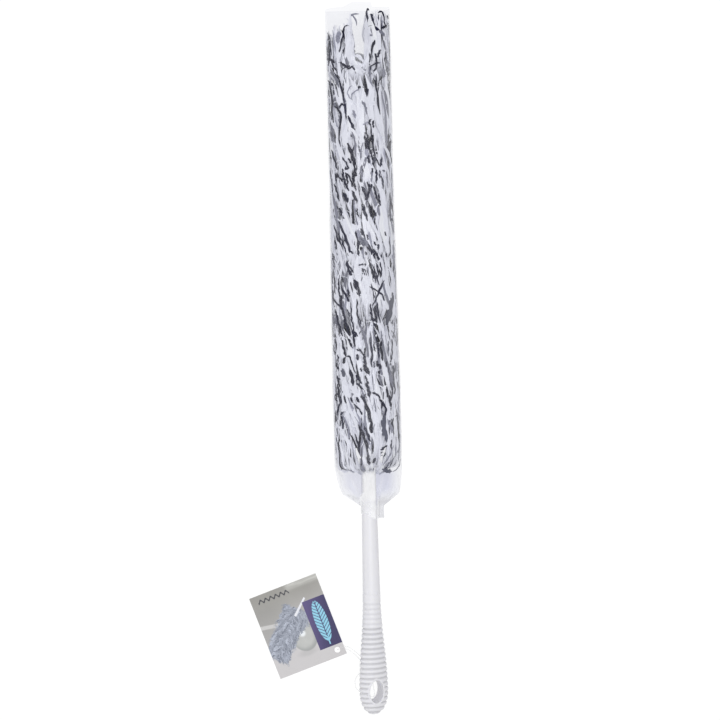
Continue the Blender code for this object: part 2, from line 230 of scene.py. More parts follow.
class Nodes:
    """Builds a tree of nodes. An input is a number, a colour or another node's output."""

    def __init__(self, tree):
        self.tree = tree

    def put(self, socket, value):
        if isinstance(value, bpy.types.NodeSocket):
            self.tree.links.new(value, socket)
        elif hasattr(value, "__len__") and socket.type == "RGBA" and len(value) == 3:
            socket.default_value = (*value, 1)
        else:
            socket.default_value = value

    def node(self, kind, inputs, **options):
        made = self.tree.nodes.new("ShaderNode" + kind)
        for name, value in options.items():
            setattr(made, name, value)
        for name, value in inputs.items():
            self.put(made.inputs[name], value)
        return made

    def math(self, operation, *values, clamp=False):
        made = self.node("Math", dict(enumerate(values)), operation=operation, use_clamp=clamp)
        return made.outputs[0]

    def plus(self, one, two):
        return self.math("ADD", one, two)

    def minus(self, one, two):
        return self.math("SUBTRACT", one, two)

    def times(self, one, two):
        return self.math("MULTIPLY", one, two)

    def over(self, one, two):
        return self.math("DIVIDE", one, two)

    def size(self, value):
        return self.math("ABSOLUTE", value)

    def mix(self, share, one, two, blend="MIX"):
        made = self.node("Mix", {}, data_type="RGBA", blend_type=blend)
        self.put(made.inputs[0], share)
        self.put(made.inputs[6], one)
        self.put(made.inputs[7], two)
        return made.outputs[2]

    def fade(self, value, low, high):
        """0 where value is low, 1 where it is high, and smooth between."""
        made = self.node("MapRange", {0: value, 1: low, 2: high}, interpolation_type="SMOOTHSTEP")
        return made.outputs[0]

    def ramp(self, value, low, high):
        """value from 0 to 1 becomes low to high."""
        return self.node("MapRange", {0: value, 3: low, 4: high}).outputs[0]

    def place(self):
        return self.node("TexCoord", {}).outputs["Object"]

    def attribute(self, name, kind="Fac"):
        return self.node("Attribute", {}, attribute_name=name).outputs[kind]

    def noise(self, vector, scale, detail=3.0, stretch=(1, 1, 1), rough=0.5):
        spread = self.node("Mapping", {"Vector": vector, "Scale": stretch}).outputs[0]
        inputs = {"Vector": spread, "Scale": scale, "Detail": detail, "Roughness": rough}
        return self.node("TexNoise", inputs).outputs[0]

    def seen_directly(self):
        """1 where the camera or a reflection sees it, 0 where it only lights other things."""
        path = self.node("LightPath", {}).outputs
        return self.math("MAXIMUM", path["Is Camera Ray"], path["Is Glossy Ray"])


class Graph(Nodes):
    """A material with its nodes."""

    def __init__(self, name):
        self.material = bpy.data.materials.new(name)
        self.material.use_nodes = True
        super().__init__(self.material.node_tree)
        self.shader = self.tree.nodes["Principled BSDF"]
        self.output = self.tree.nodes["Material Output"]

    def bump(self, height, depth, strength=1.0):
        inputs = {"Height": height, "Distance": depth, "Strength": strength}
        self.put(self.shader.inputs["Normal"], self.node("Bump", inputs).outputs[0])

    def finish(self, colour, roughness):
        self.put(self.shader.inputs["Base Color"], colour)
        self.put(self.shader.inputs["Roughness"], roughness)

    def set(self, **values):
        """Sets the shader's own values, such as Metallic. An underscore stands for a space."""
        for name, value in values.items():
            self.shader.inputs[name.replace("_", " ")].default_value = value

    def replace_shader(self, surface):
        self.put(self.output.inputs["Surface"], surface)
        self.tree.nodes.remove(self.shader)


def moulded_plastic(name, low, high, rough, grooved=False):
    """Satin moulded plastic: slight tone changes, fine texture and faint scuffs. When grooved,
    painted shade darkens the grip's grooves.
    """
    g = Graph(name)
    place = g.place()
    slow = g.noise(place, 22, 3)
    fine = g.noise(place, 1400, 4)
    scuffs = g.fade(g.noise(place, 160, 5, (1, 0.12, 1)), 0.60, 0.72)
    colour = g.mix(slow, low, high)
    if grooved:
        # painted shade: the grooves are darkened by how deep each point lies in one, broken up by
        # noise
        groove_shade = g.times(g.attribute("groove"), g.ramp(g.noise(place, 90, 3), 0.55, 0.8))
        colour = g.mix(groove_shade, colour, tuple(0.62 * part for part in low))
    colour = g.mix(g.times(scuffs, 0.10), colour, tuple(0.8 * part for part in low))
    g.finish(colour, g.plus(g.ramp(slow, rough - 0.04, rough + 0.05), g.ramp(scuffs, 0, 0.12)))
    g.set(Subsurface_Weight=0.06, Subsurface_Radius=(0.004, 0.004, 0.005), Subsurface_Scale=0.5)
    g.bump(g.plus(fine, g.times(scuffs, 0.6)), 0.00006)
    return g.material


def ring_metal():
    g = Graph("brushed_ring")
    brush = g.noise(g.place(), 900, 4, (1, 0.06, 1))
    g.finish(g.mix(brush, (0.46, 0.47, 0.49), (0.68, 0.69, 0.71)), g.ramp(brush, 0.22, 0.42))
    g.set(Metallic=1.0)
    g.bump(brush, 0.00005)
    return g.material


def strip_film():
    """Thin crinkled film. Each strip has its own shade, in the strip_shade attribute."""
    g = Graph("strip_film")
    along = g.attribute("strip_place", "Vector")
    streaks = g.noise(along, 1.0, 4, (2.2, 0.05, 9))
    crinkle = g.noise(along, 1.0, 5, (1.3, 0.32, 7))
    worn = g.mix(streaks, (0.84, 0.84, 0.87), (1.0, 1.0, 1.0))
    colour = g.mix(1.0, g.attribute("strip_shade", "Color"), worn, "MULTIPLY")
    g.finish(colour, g.ramp(crinkle, 0.30, 0.52))
    g.set(Specular_IOR_Level=0.12)
    g.bump(crinkle, 0.0006, 0.8)
    return g.material


def hem_film():
    g = Graph("hem_film")
    folds = g.noise(g.place(), 700, 4, (1, 0.25, 1))
    g.finish(g.mix(folds, (0.40, 0.40, 0.47), (0.80, 0.80, 0.88)), g.ramp(folds, 0.3, 0.5))
    g.bump(folds, 0.0004)
    return g.material


def clear_film():
    """Clear packing film, with a milky haze where it is gathered and on its creases, a painted
    sheen as haze on its upper right side, and painted shade as a violet tint in the pockets beside
    the shaft.
    """
    g = Graph("clear_film")
    place = g.place()
    crease = g.noise(place, 210, 4, (1, 0.35, 1), 0.55)
    fine = g.noise(place, 900, 3, (1, 0.5, 1))
    # painted shade: a darker violet tint of the film in the pockets beside the shaft and over the
    # shaft's right edge
    clear = g.mix(g.times(g.attribute("tint"), 0.6), (0.915, 0.918, 0.935), (0.665, 0.675, 0.78))
    clear = g.mix(g.attribute("smoke"), clear, (0.80, 0.80, 0.82))
    clear = g.node("BsdfTransparent", {"Color": clear}).outputs[0]
    milk = g.node("BsdfDiffuse", {"Color": (0.97, 0.97, 0.98)}).outputs[0]
    height = g.plus(crease, g.times(fine, 0.12))
    normal = g.node("Bump", {"Height": height, "Distance": 0.0016, "Strength": 0.55}).outputs[0]
    shine = {"Color": (1, 1, 1), "Roughness": 0.16, "Normal": normal}
    gloss = g.node("BsdfGlossy", shine).outputs[0]
    rim = g.node("Fresnel", {"IOR": 1.42, "Normal": normal}).outputs[0]
    spread = g.ramp(g.noise(place, 60, 4, (1, 0.3, 1)), 0.5, 1.5)
    # this milky haze is partly real and partly a painted sheen on the film's upper right side
    share = g.math("MULTIPLY", g.attribute("haze"), spread, clamp=True)
    body = g.node("MixShader", {0: share, 1: clear, 2: milk}).outputs[0]
    g.replace_shader(g.node("MixShader", {0: g.times(rim, 0.55), 1: body, 2: gloss}).outputs[0])
    return g.material


def nylon():
    g = Graph("clear_nylon")
    cloud = g.noise(g.place(), 500, 3)
    g.finish(g.mix(cloud, (0.88, 0.88, 0.89), (0.95, 0.95, 0.96)), g.ramp(cloud, 0.15, 0.30))
    g.set(Alpha=0.26)
    g.bump(cloud, 0.00005)
    return g.material


class Picture(Graph):
    """A flat print, drawn in millimetres from its centre: u to the right and v up."""

    def __init__(self, name, centre, turn):
        super().__init__(name)
        inputs = {"Vector": self.place(), "Location": centre, "Rotation": (0, 0, turn)}
        flat = self.node("Mapping", inputs, vector_type="TEXTURE").outputs[0]
        inputs = {0: flat, 1: (1000, 1000, 0)}
        self.spot = self.node("VectorMath", inputs, operation="MULTIPLY").outputs[0]
        self.u, self.v = self.node("SeparateXYZ", {0: self.spot}).outputs[:2]

    def inside(self, value, low, high, soft=0.15):
        above = self.fade(value, low - soft, low + soft)
        return self.times(above, self.fade(value, high + soft, high - soft))

    def box(self, low_u, high_u, low_v, high_v, soft=0.15):
        across = self.inside(self.u, low_u, high_u, soft)
        return self.times(across, self.inside(self.v, low_v, high_v, soft))

    def turned(self, centre_u, centre_v, angle):
        """Distances along and across a line that passes through a point at an angle."""
        du, dv = self.minus(self.u, centre_u), self.minus(self.v, centre_v)
        cos, sin = math.cos(angle), math.sin(angle)
        along = self.plus(self.times(du, cos), self.times(dv, sin))
        return along, self.minus(self.times(dv, cos), self.times(du, sin))

    def disc(self, centre_u, centre_v, radius_u, radius_v, soft=0.12):
        du = self.over(self.minus(self.u, centre_u), radius_u)
        dv = self.over(self.minus(self.v, centre_v), radius_v)
        away = self.plus(self.times(du, du), self.times(dv, dv))
        return self.fade(self.math("SQRT", away), 1 + soft, 1 - soft)


def tag_room(g):
    """The print's background: a plain room, light below, with a drape and a shelf."""
    cloud = g.noise(g.spot, 0.05, 3)
    ground = g.mix(g.fade(g.v, 44, -20), (0.30, 0.29, 0.265), (0.66, 0.64, 0.65))
    ground = g.mix(g.ramp(cloud, 0.0, 0.35), ground, (0.56, 0.55, 0.53))
    drape = g.times(g.box(2, 60, 38, 60, 3), g.noise(g.spot, 0.16, 2, (0.4, 3, 1)))
    ground = g.mix(drape, ground, (0.72, 0.72, 0.68))
    dim = g.times(g.fade(g.u, 8, -22), g.inside(g.v, -12, 30, 6))
    ground = g.mix(g.times(dim, 0.55), ground, (0.32, 0.315, 0.30))
    level = g.plus(g.v, g.times(g.plus(g.u, 35), 0.17))
    shelf = g.times(g.inside(level, 8.9, 12.8, 0.7), g.fade(g.u, -12, -18))
    return g.mix(g.times(shelf, 0.85), ground, (0.68, 0.67, 0.66))


def tag_ornament(g, picture):
    """A glass ball on a foot, with its highlight."""
    ball, core = g.disc(2.5, -12, 13, 15, 0.05), g.disc(1.5, -11, 11, 13, 0.25)
    glassy = g.mix(g.noise(g.spot, 0.12, 3), (0.48, 0.49, 0.47), (0.62, 0.63, 0.61))
    glassy = g.mix(core, (0.33, 0.35, 0.34), glassy)
    picture = g.mix(g.times(ball, 0.85), picture, glassy)
    picture = g.mix(g.disc(1.5, -8.5, 3.0, 3.0, 0.5), picture, (0.92, 0.95, 0.97))
    foot = g.disc(0, -28, 9, 3.5, 0.6)
    return g.mix(g.times(foot, 0.35), picture, (0.40, 0.40, 0.40))


def tag_duster(g, picture):
    """A ragged silver plume on a pale rod."""
    along, across = g.turned(2, 15, math.atan2(-37, -33))
    side = g.math("SIGN", across)
    wander = g.times(g.minus(g.noise(g.spot, 0.11, 4, rough=0.6), 0.5), 22)
    vein = g.plus(g.minus(across, g.times(side, g.times(along, 0.75))), wander)
    veins = g.node("CombineXYZ", {0: vein, 1: g.times(across, 0.12), 2: side}).outputs[0]
    spikes = g.times(g.minus(g.noise(veins, 0.9, 3), 0.5), 10)
    ragged = g.plus(g.times(g.minus(g.noise(g.spot, 0.16, 3), 0.5), 6), spikes)
    bulge = g.times(g.inside(along, 1, 15, 7), g.fade(across, 0, 8))
    width = g.minus(g.plus(g.size(across), ragged), g.times(bulge, 5.5))
    reach = g.plus(along, ragged)
    plume = g.times(g.fade(width, 13.2, 12.2), g.fade(reach, -5, -3.6))
    plume = g.times(plume, g.fade(reach, 54, 52))
    fronds = g.noise(veins, 1.1, 4, rough=0.6)
    lumps = g.ramp(g.noise(g.spot, 0.24, 3), -0.12, 0.12)
    light = g.fade(g.plus(fronds, lumps), 0.30, 0.70)
    silver = g.mix(light, (0.13, 0.145, 0.19), (0.55, 0.59, 0.69))
    picture = g.mix(plume, picture, silver)

    along, across = g.turned(1, 10.5, math.atan2(15.5, 17))
    half = g.minus(1.55, g.times(along, 0.025))
    rod = g.times(g.fade(g.size(across), half, 0.9), g.inside(along, 0, 21))
    return g.mix(rod, picture, (0.86, 0.87, 0.92))


def tag_panel(g, picture):
    """A dark panel with a plain feather on it."""
    shade = g.fade(g.minus(g.u, g.times(g.v, 0.25)), 8, 34)
    navy = g.mix(shade, (0.105, 0.08, 0.22), (0.035, 0.028, 0.11))
    picture = g.mix(g.box(12.2, 60, -31, 21), picture, navy)
    leaf = g.disc(24.2, -3.5, 6.6, 21.5, 0.03)
    beside = g.size(g.minus(g.u, 24.2))
    slant = g.plus(g.v, g.times(beside, -0.9))
    barbs = g.size(g.minus(g.math("FRACT", g.over(slant, 3.7)), 0.5))
    feather = g.times(leaf, g.times(g.fade(barbs, 0.40, 0.36), g.fade(beside, 0.35, 0.55)))
    quill = g.times(g.fade(beside, 0.75, 0.55), g.inside(g.v, -28.5, -20))
    return g.mix(g.math("MAXIMUM", feather, quill), picture, (0.30, 0.66, 0.84))


def tag_rule(g, picture):
    """A wavy dark line."""
    wave = g.times(g.math("SINE", g.times(g.u, 1.15)), 1.5)
    off_wave = g.size(g.minus(g.minus(g.v, 36.5), wave))
    rule = g.times(g.fade(off_wave, 1.15, 0.85), g.inside(g.u, -29, 4))
    return g.mix(rule, picture, (0.055, 0.055, 0.065))


def tag_print():
    """The tag's printed face: a plain picture of a duster, a feather panel and a wavy rule."""
    g = Picture("tag_print", (TAG_CENTRE[0], TAG_CENTRE[1] - TOTAL_LENGTH / 2, 0), TAG_TURN)
    picture = tag_room(g)
    for draw in (tag_ornament, tag_duster, tag_panel, tag_rule):
        picture = draw(g, picture)
    picture = g.mix(g.ramp(g.noise(g.spot, 9.0, 2), 0.0, 0.10), picture, (0.5, 0.5, 0.5))
    g.finish(picture, g.ramp(g.noise(g.spot, 0.4, 3), 0.40, 0.52))
    g.set(Specular_IOR_Level=0.25)
    g.bump(g.noise(g.spot, 5.0, 3), 0.00002)
    return g.material


def paint(obj, material):
    obj.data.materials.clear()
    obj.data.materials.append(material)


def set_piece(piece, body, slot, *nodes):
    """The piece rides on a body and stands for its CAD nodes, which are hidden; slot is not used.
    """
    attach(piece, body)
    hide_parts(*nodes)


# ---------------------------------------------------------------- mesh building


def link(name, data):
    made = bpy.data.objects.new(name, data)
    bpy.context.scene.collection.objects.link(made)
    return made


def add_mesh(name, points, faces, material=None):
    mesh = bpy.data.meshes.new(name)
    mesh.from_pydata([tuple(point) for point in points], [], faces)
    mesh.update()
    mesh.shade_smooth()
    if material:
        mesh.materials.append(material)
    return link(name, mesh)


def angles_round(sides):
    return np.arange(sides) * TURN / sides


def grid_faces(rows, sides):
    """Quads between rows of points that each go round a form."""
    faces = []
    for start in range(0, (rows - 1) * sides, sides):
        for i in range(sides):
            j = (i + 1) % sides
            faces.append((start + i, start + j, start + sides + j, start + sides + i))
    return faces


def outward(obj):
    form = bmesh.new()
    form.from_mesh(obj.data)
    bmesh.ops.recalc_face_normals(form, faces=form.faces)
    form.to_mesh(obj.data)
    form.free()


def closed_body(name, points, sides, material=None):
    """A closed form from rows of points that each go round it."""
    faces = grid_faces(len(points) // sides, sides)
    faces += [tuple(range(sides)), tuple(range(len(points) - sides, len(points)))]
    made = add_mesh(name, points, faces, material)
    outward(made)
    return made


def round_point(radius, angle, station):
    return at(radius * math.cos(angle), station, AXIS_HEIGHT + radius * math.sin(angle))


def add_values(mesh, name, values):
    """Gives each point of a mesh a value that its material reads."""
    attribute = mesh.attributes.new(name, "FLOAT", "POINT")
    attribute.data.foreach_set("value", values.astype(np.float32).ravel())


def apply_modifiers(obj):
    bpy.context.view_layer.update()
    shape = obj.evaluated_get(bpy.context.evaluated_depsgraph_get())
    mesh = bpy.data.meshes.new_from_object(shape)
    obj.modifiers.clear()
    obj.data = mesh


# ---------------------------------------------------------------- handle


def grip_size(station):
    swell = 1 - ease(station, GRIP_NOSE, GRIP_SWELL_END - GRIP_NOSE)
    nose = np.maximum(0.0, 1 - station / GRIP_NOSE)
    nose = (1 - nose**GRIP_NOSE_POWER) ** (1 / GRIP_NOSE_POWER)
    wide = GRIP_NECK_RADIUS + (GRIP_HALF_WIDTH - GRIP_NECK_RADIUS) * swell
    thick = GRIP_NECK_RADIUS + (GRIP_HALF_THICKNESS - GRIP_NECK_RADIUS) * swell
    return wide * nose, thick * nose


def groove(station):
    """How deep the rib pattern cuts at a station, as a share of the full depth."""
    rib = (station - RIB_FIRST) / RIB_PITCH
    number = np.round(rib)
    phase = np.abs(rib - number) / GROOVE_SHARE
    cut = np.where(phase < 1, (1 + np.cos(np.pi * np.clip(phase, 0, 1))) / 2, 0)
    shallow = np.where(number >= RIB_COUNT - SHALLOW_RIBS, SHALLOW_RIB_DEPTH / RIB_DEPTH, 1.0)
    return np.where((number < 0) | (number > RIB_COUNT - 1), 0, cut * shallow)


def away_from_hole(side, station):
    """0 on the smooth lip round the hang hole, 1 beyond it. side is across the flat of the grip."""
    wide = HANG_HOLE_WIDTH / 2 + HOLE_LIP
    long = HANG_HOLE_LENGTH / 2 + HOLE_LIP
    reach = np.sqrt((side / wide) ** 2 + ((station - HANG_HOLE) / long) ** 2)
    return ease(reach, 1.0, 0.12)


def grip_blank():
    """The grip with its ribs and its socket for the shaft, before the hang hole is cut."""
    angles = angles_round(GRIP_SIDES)
    cos, sin = np.cos(angles), np.sin(angles)
    points = []
    for station in np.concatenate([[GRIP_TIP], np.linspace(GRIP_START, GRIP_END, GRIP_ROWS)]):
        wide, thick = grip_size(station)
        sunk = RIB_DEPTH * groove(station) * away_from_hole(wide * cos, station)
        edge = max(0.0, station - (GRIP_END - GRIP_EDGE)) * 0.1
        side, rise = (wide - sunk - edge) * cos, (thick - sunk - edge) * sin
        x = side * math.cos(GRIP_ROLL) + rise * math.sin(GRIP_ROLL)
        z = rise * math.cos(GRIP_ROLL) - side * math.sin(GRIP_ROLL)
        points += [at(a, station, AXIS_HEIGHT + b) for a, b in zip(x, z)]
    socket = SPIGOT_RADIUS + GAP
    for station in (GRIP_END, SPIGOT_START - GAP):
        points += [at(socket * a, station, AXIS_HEIGHT + socket * b) for a, b in zip(cos, sin)]
    return closed_body("grip", points, GRIP_SIDES)


def hole_cutter():
    """The hang hole's oval, flared at both faces of the grip."""
    rise = Vector((math.sin(GRIP_ROLL), 0, math.cos(GRIP_ROLL)))
    across = Vector((math.cos(GRIP_ROLL), 0, -math.sin(GRIP_ROLL)))
    points = []
    for level, flare in (*HOLE_FLARE, *((-level, flare) for level, flare in HOLE_FLARE[::-1])):
        for angle in angles_round(HOLE_SIDES):
            wide = (HANG_HOLE_WIDTH / 2 + flare) * math.cos(angle)
            long = (HANG_HOLE_LENGTH / 2 + flare) * math.sin(angle)
            points.append(at(0, HANG_HOLE + long, AXIS_HEIGHT) + across * wide + rise * level)
    return closed_body("grip_cutter", points, HOLE_SIDES)


def mark_grooves(grip):
    """Records how deep in a groove each point of the grip is."""
    spots = np.empty(len(grip.data.vertices) * 3)
    grip.data.vertices.foreach_get("co", spots)
    x, y, z = spots.reshape(-1, 3).T
    station, z = y + TOTAL_LENGTH / 2, z - AXIS_HEIGHT
    side = x * math.cos(GRIP_ROLL) - z * math.sin(GRIP_ROLL)
    up = x * math.sin(GRIP_ROLL) + z * math.cos(GRIP_ROLL)
    wide, thick = grip_size(np.clip(station, GRIP_TIP, None))
    on_skin = np.hypot(side / wide, up / thick) > 0.8
    add_values(grip.data, "groove", groove(station) * away_from_hole(side, station) * on_skin)


def make_grip(material):
    grip, cutter = grip_blank(), hole_cutter()
    cut = grip.modifiers.new("hole", "BOOLEAN")
    cut.operation, cut.object, cut.solver = "DIFFERENCE", cutter, "EXACT"
    remesh = grip.modifiers.new("voxels", "REMESH")
    remesh.mode, remesh.voxel_size, remesh.use_smooth_shade = "VOXEL", GRIP_VOXEL, True
    soften = grip.modifiers.new("soften", "SMOOTH")
    soften.factor, soften.iterations = 0.5, 5
    apply_modifiers(grip)
    bpy.data.objects.remove(cutter)
    mark_grooves(grip)
    grip.data.shade_smooth()
    grip.data.materials.append(material)
    set_piece(grip, "duster", "handle_plastic", "handle_grip")


def make_shaft(material):
    """The tapered tube, with a spigot in the grip and a bore for the rod."""
    low, high, bore = SHAFT_START, SHAFT_END, ROD_RADIUS + GAP
    profile = [
        (SPIGOT_START, SPIGOT_RADIUS - 0.0008),
        (SPIGOT_START + 0.001, SPIGOT_RADIUS),
        (low - 0.0004, SPIGOT_RADIUS),
        (low - 0.0004, SHAFT_RADIUS_LOW - 0.00026),
        (low, SHAFT_RADIUS_LOW - 0.00008),
        (low + 0.0006, SHAFT_RADIUS_LOW),
    ]
    radii = (SHAFT_RADIUS_LOW, SHAFT_RADIUS_TIE, SHAFT_RADIUS_HIGH)
    for station in np.linspace(low + 0.002, high - 0.0012, 40):
        profile.append((station, np.interp(station, (low, NECK_TIE, high), radii)))
    profile += [
        (high - 0.0004, SHAFT_RADIUS_HIGH - 0.0002),
        (high, SHAFT_RADIUS_HIGH - 0.0008),
        (high, bore),
        (ROD_START - GAP, bore),
    ]
    turn = angles_round(SHAFT_SIDES)
    points = [round_point(radius, angle, station) for station, radius in profile for angle in turn]
    shaft = closed_body("shaft", points, SHAFT_SIDES, material)
    shaft.data.set_sharp_from_angle(angle=math.radians(40))
    set_piece(shaft, "duster", "handle_plastic", "handle_shaft")


def make_cap(material):
    """The rounded knob on the rod's end, with shallow flutes that twist up to its top."""
    bore, side_start, dome = ROD_RADIUS + GAP, CAP_START + 0.001, CAP_END - CAP_SHOULDER
    plain = [
        (ROD_END + GAP, bore),
        (CAP_START, bore),
        (CAP_START, CAP_RADIUS - 0.0008),
        (CAP_START + 0.0005, CAP_RADIUS - 0.0002),
        (side_start, CAP_RADIUS),
    ]
    fluted = [(station, CAP_RADIUS) for station in np.linspace(side_start, CAP_SHOULDER, 8)[1:]]
    for angle in np.radians(np.linspace(5, 86, 16)):
        fluted.append((CAP_SHOULDER + dome * math.sin(angle), CAP_RADIUS * math.cos(angle)))
    points = []
    for deep, rows in ((0.0, plain), (FLUTE_DEPTH, fluted)):
        for station, radius in rows:
            twist = (station - CAP_START) * FLUTE_TWIST
            for angle in angles_round(CAP_SIDES):
                flute = deep * (1 - math.cos(FLUTES * (angle + twist))) / 2
                points.append(round_point(radius * (1 - flute), angle, station))
    cap = closed_body("tip_knob", points, CAP_SIDES, material)
    cap.data.set_sharp_from_angle(angle=math.radians(50))
    set_piece(cap, "duster", "cap_plastic", "tip_cap")


# ---------------------------------------------------------------- sleeve section


def section(angle, station, inset):
    """x and z of the sleeve's section at these angles and stations, drawn in by inset."""
    wide = np.interp(station, SLEEVE_STATIONS, SLEEVE_HALF_WIDTHS) - inset
    across, up = np.cos(angle), np.sin(angle)
    power = 2 / SLEEVE_FLATNESS
    x = wide * np.where(up < 0, np.sign(across) * np.abs(across) ** power, across)
    above = SLEEVE_WAIST + (SLEEVE_HEIGHT - SLEEVE_WAIST - inset) * up
    below = SLEEVE_WAIST - (SLEEVE_WAIST + SLEEVE_SAG) * np.abs(np.minimum(up, 0)) ** power
    return x, np.where(up < 0, np.maximum(inset, below), above)


def lowered(z, station):
    """The sleeve and the strips in it flatten towards its open end."""
    return z * (1 - 0.50 * ease(station, 0.664, 0.046))


def keep_inside(x, z, station, inset):
    """Draws points that are outside the section back onto it."""
    wide = np.interp(station, SLEEVE_STATIONS, SLEEVE_HALF_WIDTHS) - inset
    up = z - SLEEVE_WAIST
    above = np.hypot(x / wide, up / (SLEEVE_HEIGHT - SLEEVE_WAIST - inset))
    drop = np.maximum(-up, 0) / (SLEEVE_WAIST + SLEEVE_SAG)
    below = (np.abs(x / wide) ** SLEEVE_FLATNESS + drop**SLEEVE_FLATNESS) ** (1 / SLEEVE_FLATNESS)
    reach = np.maximum(np.where(up >= 0, above, below), 1.0)
    return x / reach, np.maximum(SLEEVE_WAIST + up / reach, inset)


def lengths_round(angles):
    """The length round the section at each of these angles."""
    x, z = section(angles, 0.45, 0.002)
    return np.concatenate([[0], np.cumsum(np.hypot(np.diff(x), np.diff(z)))])


ROUND_ANGLES = np.linspace(0, TURN, 721)
ROUND_LENGTHS = lengths_round(ROUND_ANGLES)
PERIMETER = ROUND_LENGTHS[-1]


def angle_at(length):
    """The section's angle at a length round it."""
    return np.interp(length % PERIMETER, ROUND_LENGTHS, ROUND_ANGLES)


# ---------------------------------------------------------------- strips


def unit(vectors):
    return vectors / np.maximum(np.linalg.norm(vectors, axis=-1, keepdims=True), 1e-9)


def part_over_cap(x, station, depth):
    """Each strip keeps to one side of the gap over the cap, which is wider round the cap itself."""
    half, middle = 0.0095 - 0.0031 * ease(depth, 0.62, 0.12), 0.0008
    side = np.where(x[:, -1:] > middle, 1, -1)
    off = side * (x - middle)
    pushed = half + 0.42 * (half - off)
    moved = off + (pushed - off) * ease(station, 0.634, 0.018)
    return middle + side * np.where(off < half, moved, off)


def strip_lines(angle, station, depth, parted):
    """Each strip's line, and its directions across and outwards before it twists."""
    shell_x, shell_z = section(angle, station, STRIP_CLEARANCE)
    x = depth * shell_x
    if parted:
        x = part_over_cap(x, station, depth)
    z = AXIS_HEIGHT + depth * (shell_z - AXIS_HEIGHT)
    line = np.stack([x, station - TOTAL_LENGTH / 2, z], -1)
    ahead = unit(np.gradient(line, axis=1))
    near_x, near_z = section(angle + 0.02, station, STRIP_CLEARANCE)
    round_it = unit(np.stack([near_x - shell_x, 0 * x, near_z - shell_z], -1))
    out = unit(np.cross(np.broadcast_to([0.0, 1.0, 0.0], round_it.shape), round_it))
    from_axis = np.stack([x, 0 * x, z - AXIS_HEIGHT], -1)
    out *= np.sign((out * from_axis).sum(-1, keepdims=True) + 1e-9)
    side = unit(np.cross(ahead, out))
    return line, side, np.cross(side, ahead)


def ribbon(line, side, out, station, width, cup):
    """The points round each strip's section, pressed inside the sleeve."""
    half = width[..., None] / 2
    layers = []
    for share, face in RIBBON:
        lift = (face * STRIP_THICKNESS / 2) - cup[..., None] * half * share * share
        spot = line + side * half * share + out * lift
        inset = STRIP_CLEARANCE - STRIP_LAYER * face
        x, z = keep_inside(spot[..., 0], spot[..., 2], station, inset)
        z = np.maximum(lowered(z, station), STRIP_FLOOR + STRIP_LAYER * face)
        layers.append(np.stack([x, spot[..., 1], z], -1))
    return np.stack(layers, 2)


class StripField:
    """Collects strips as closed thin ribbons, and makes them into one mesh."""

    def __init__(self, seed):
        self.rng = np.random.default_rng(seed)
        self.points, self.faces, self.shades, self.places = [], [], [], []
        self.count = 0

    def add(self, station, length_round, depth, width, twist, cup, shade, parted=True):
        """The first six have a row for every strip and a column for every point on it."""
        line, side, out = strip_lines(angle_at(length_round), station, depth, parted)
        cos, sin = np.cos(twist)[..., None], np.sin(twist)[..., None]
        side, out = side * cos + out * sin, out * cos - side * sin
        ring = ribbon(line, side, out, station, width, cup)
        steps = np.linalg.norm(np.diff(line, axis=1, prepend=line[:, :1]), axis=-1)
        place = np.zeros(ring.shape)
        place[..., 0] = np.array([share for share, _ in RIBBON]) * width[..., None] * 500
        place[..., 1] = np.cumsum(steps, 1)[..., None] * 1000
        place[..., 2] = (self.rng.random(len(station)) * 100)[:, None, None]
        self.points.append(ring.reshape(-1, 3))
        self.places.append(place.reshape(-1, 3))
        self.shades.append(np.repeat(shade, station.shape[1] * len(RIBBON), axis=0))
        self.add_faces(np.arange(station.size).reshape(station.shape) * len(RIBBON) + self.count)
        self.count += station.size * len(RIBBON)

    def add_faces(self, rows):
        """Joins the sections that start at these points, and closes both ends of each strip."""
        near, far, sides = rows[:, :-1].reshape(-1), rows[:, 1:].reshape(-1), len(RIBBON)
        quads = []
        for i in range(sides):
            j = (i + 1) % sides
            quads.append(np.stack([near + i, near + j, far + j, far + i], -1))
        for start, order in ((rows[:, 0], 1), (rows[:, -1], -1)):
            for corners in ((0, 5, 4, 1), (1, 4, 3, 2)):
                quads.append(np.stack([start + corner for corner in corners[::order]], -1))
        self.faces.append(np.concatenate(quads))

    def make(self, name, node, material):
        points, faces = np.concatenate(self.points), np.concatenate(self.faces)
        mesh = bpy.data.meshes.new(name)
        mesh.vertices.add(len(points))
        mesh.vertices.foreach_set("co", points.ravel())
        mesh.loops.add(faces.size)
        mesh.loops.foreach_set("vertex_index", faces.ravel())
        mesh.polygons.add(len(faces))
        mesh.polygons.foreach_set("loop_start", np.arange(len(faces)) * 4)
        mesh.update(calc_edges=True)
        mesh.validate()
        shade = mesh.attributes.new("strip_shade", "FLOAT_COLOR", "POINT")
        colours = np.concatenate([np.concatenate(self.shades), np.ones((len(points), 1))], 1)
        shade.data.foreach_set("color", colours.astype(np.float32).ravel())
        place = mesh.attributes.new("strip_place", "FLOAT_VECTOR", "POINT")
        place.data.foreach_set("vector", np.concatenate(self.places).astype(np.float32).ravel())
        mesh.materials.append(material)
        mesh.shade_smooth()
        mesh.set_sharp_from_angle(angle=math.radians(60))
        set_piece(link(name, mesh), "duster", "strip_film", node)


class Batch:
    """Random values for a batch of strips, with a row for each strip."""

    def __init__(self, rng, count, bundle):
        self.rng, self.count = rng, count
        self.groups = max(1, round(count / bundle))
        self.group = np.arange(count) % self.groups

    def each(self, low, high):
        return self.rng.uniform(low, high, self.count)[:, None]

    def scatter(self, amount):
        return self.rng.normal(0, amount, self.count)[:, None]

    def shared(self, values):
        """Takes one value for each bundle."""
        return values[self.group][:, None]


def shades_of(rng, base, count, spread):
    return np.clip(base * (1 + spread * (rng.random((count, 1)) * 2 - 1)), 0, 1)


def tapered(share, root, root_over, tip, tip_over):
    """A strip's width along it, as a share of its full width: narrow at its root and its tip."""
    widening = root + (1 - root) * ease(share, 0, root_over)
    return widening * (tip + (1 - tip) * ease(share, 1, -tip_over))


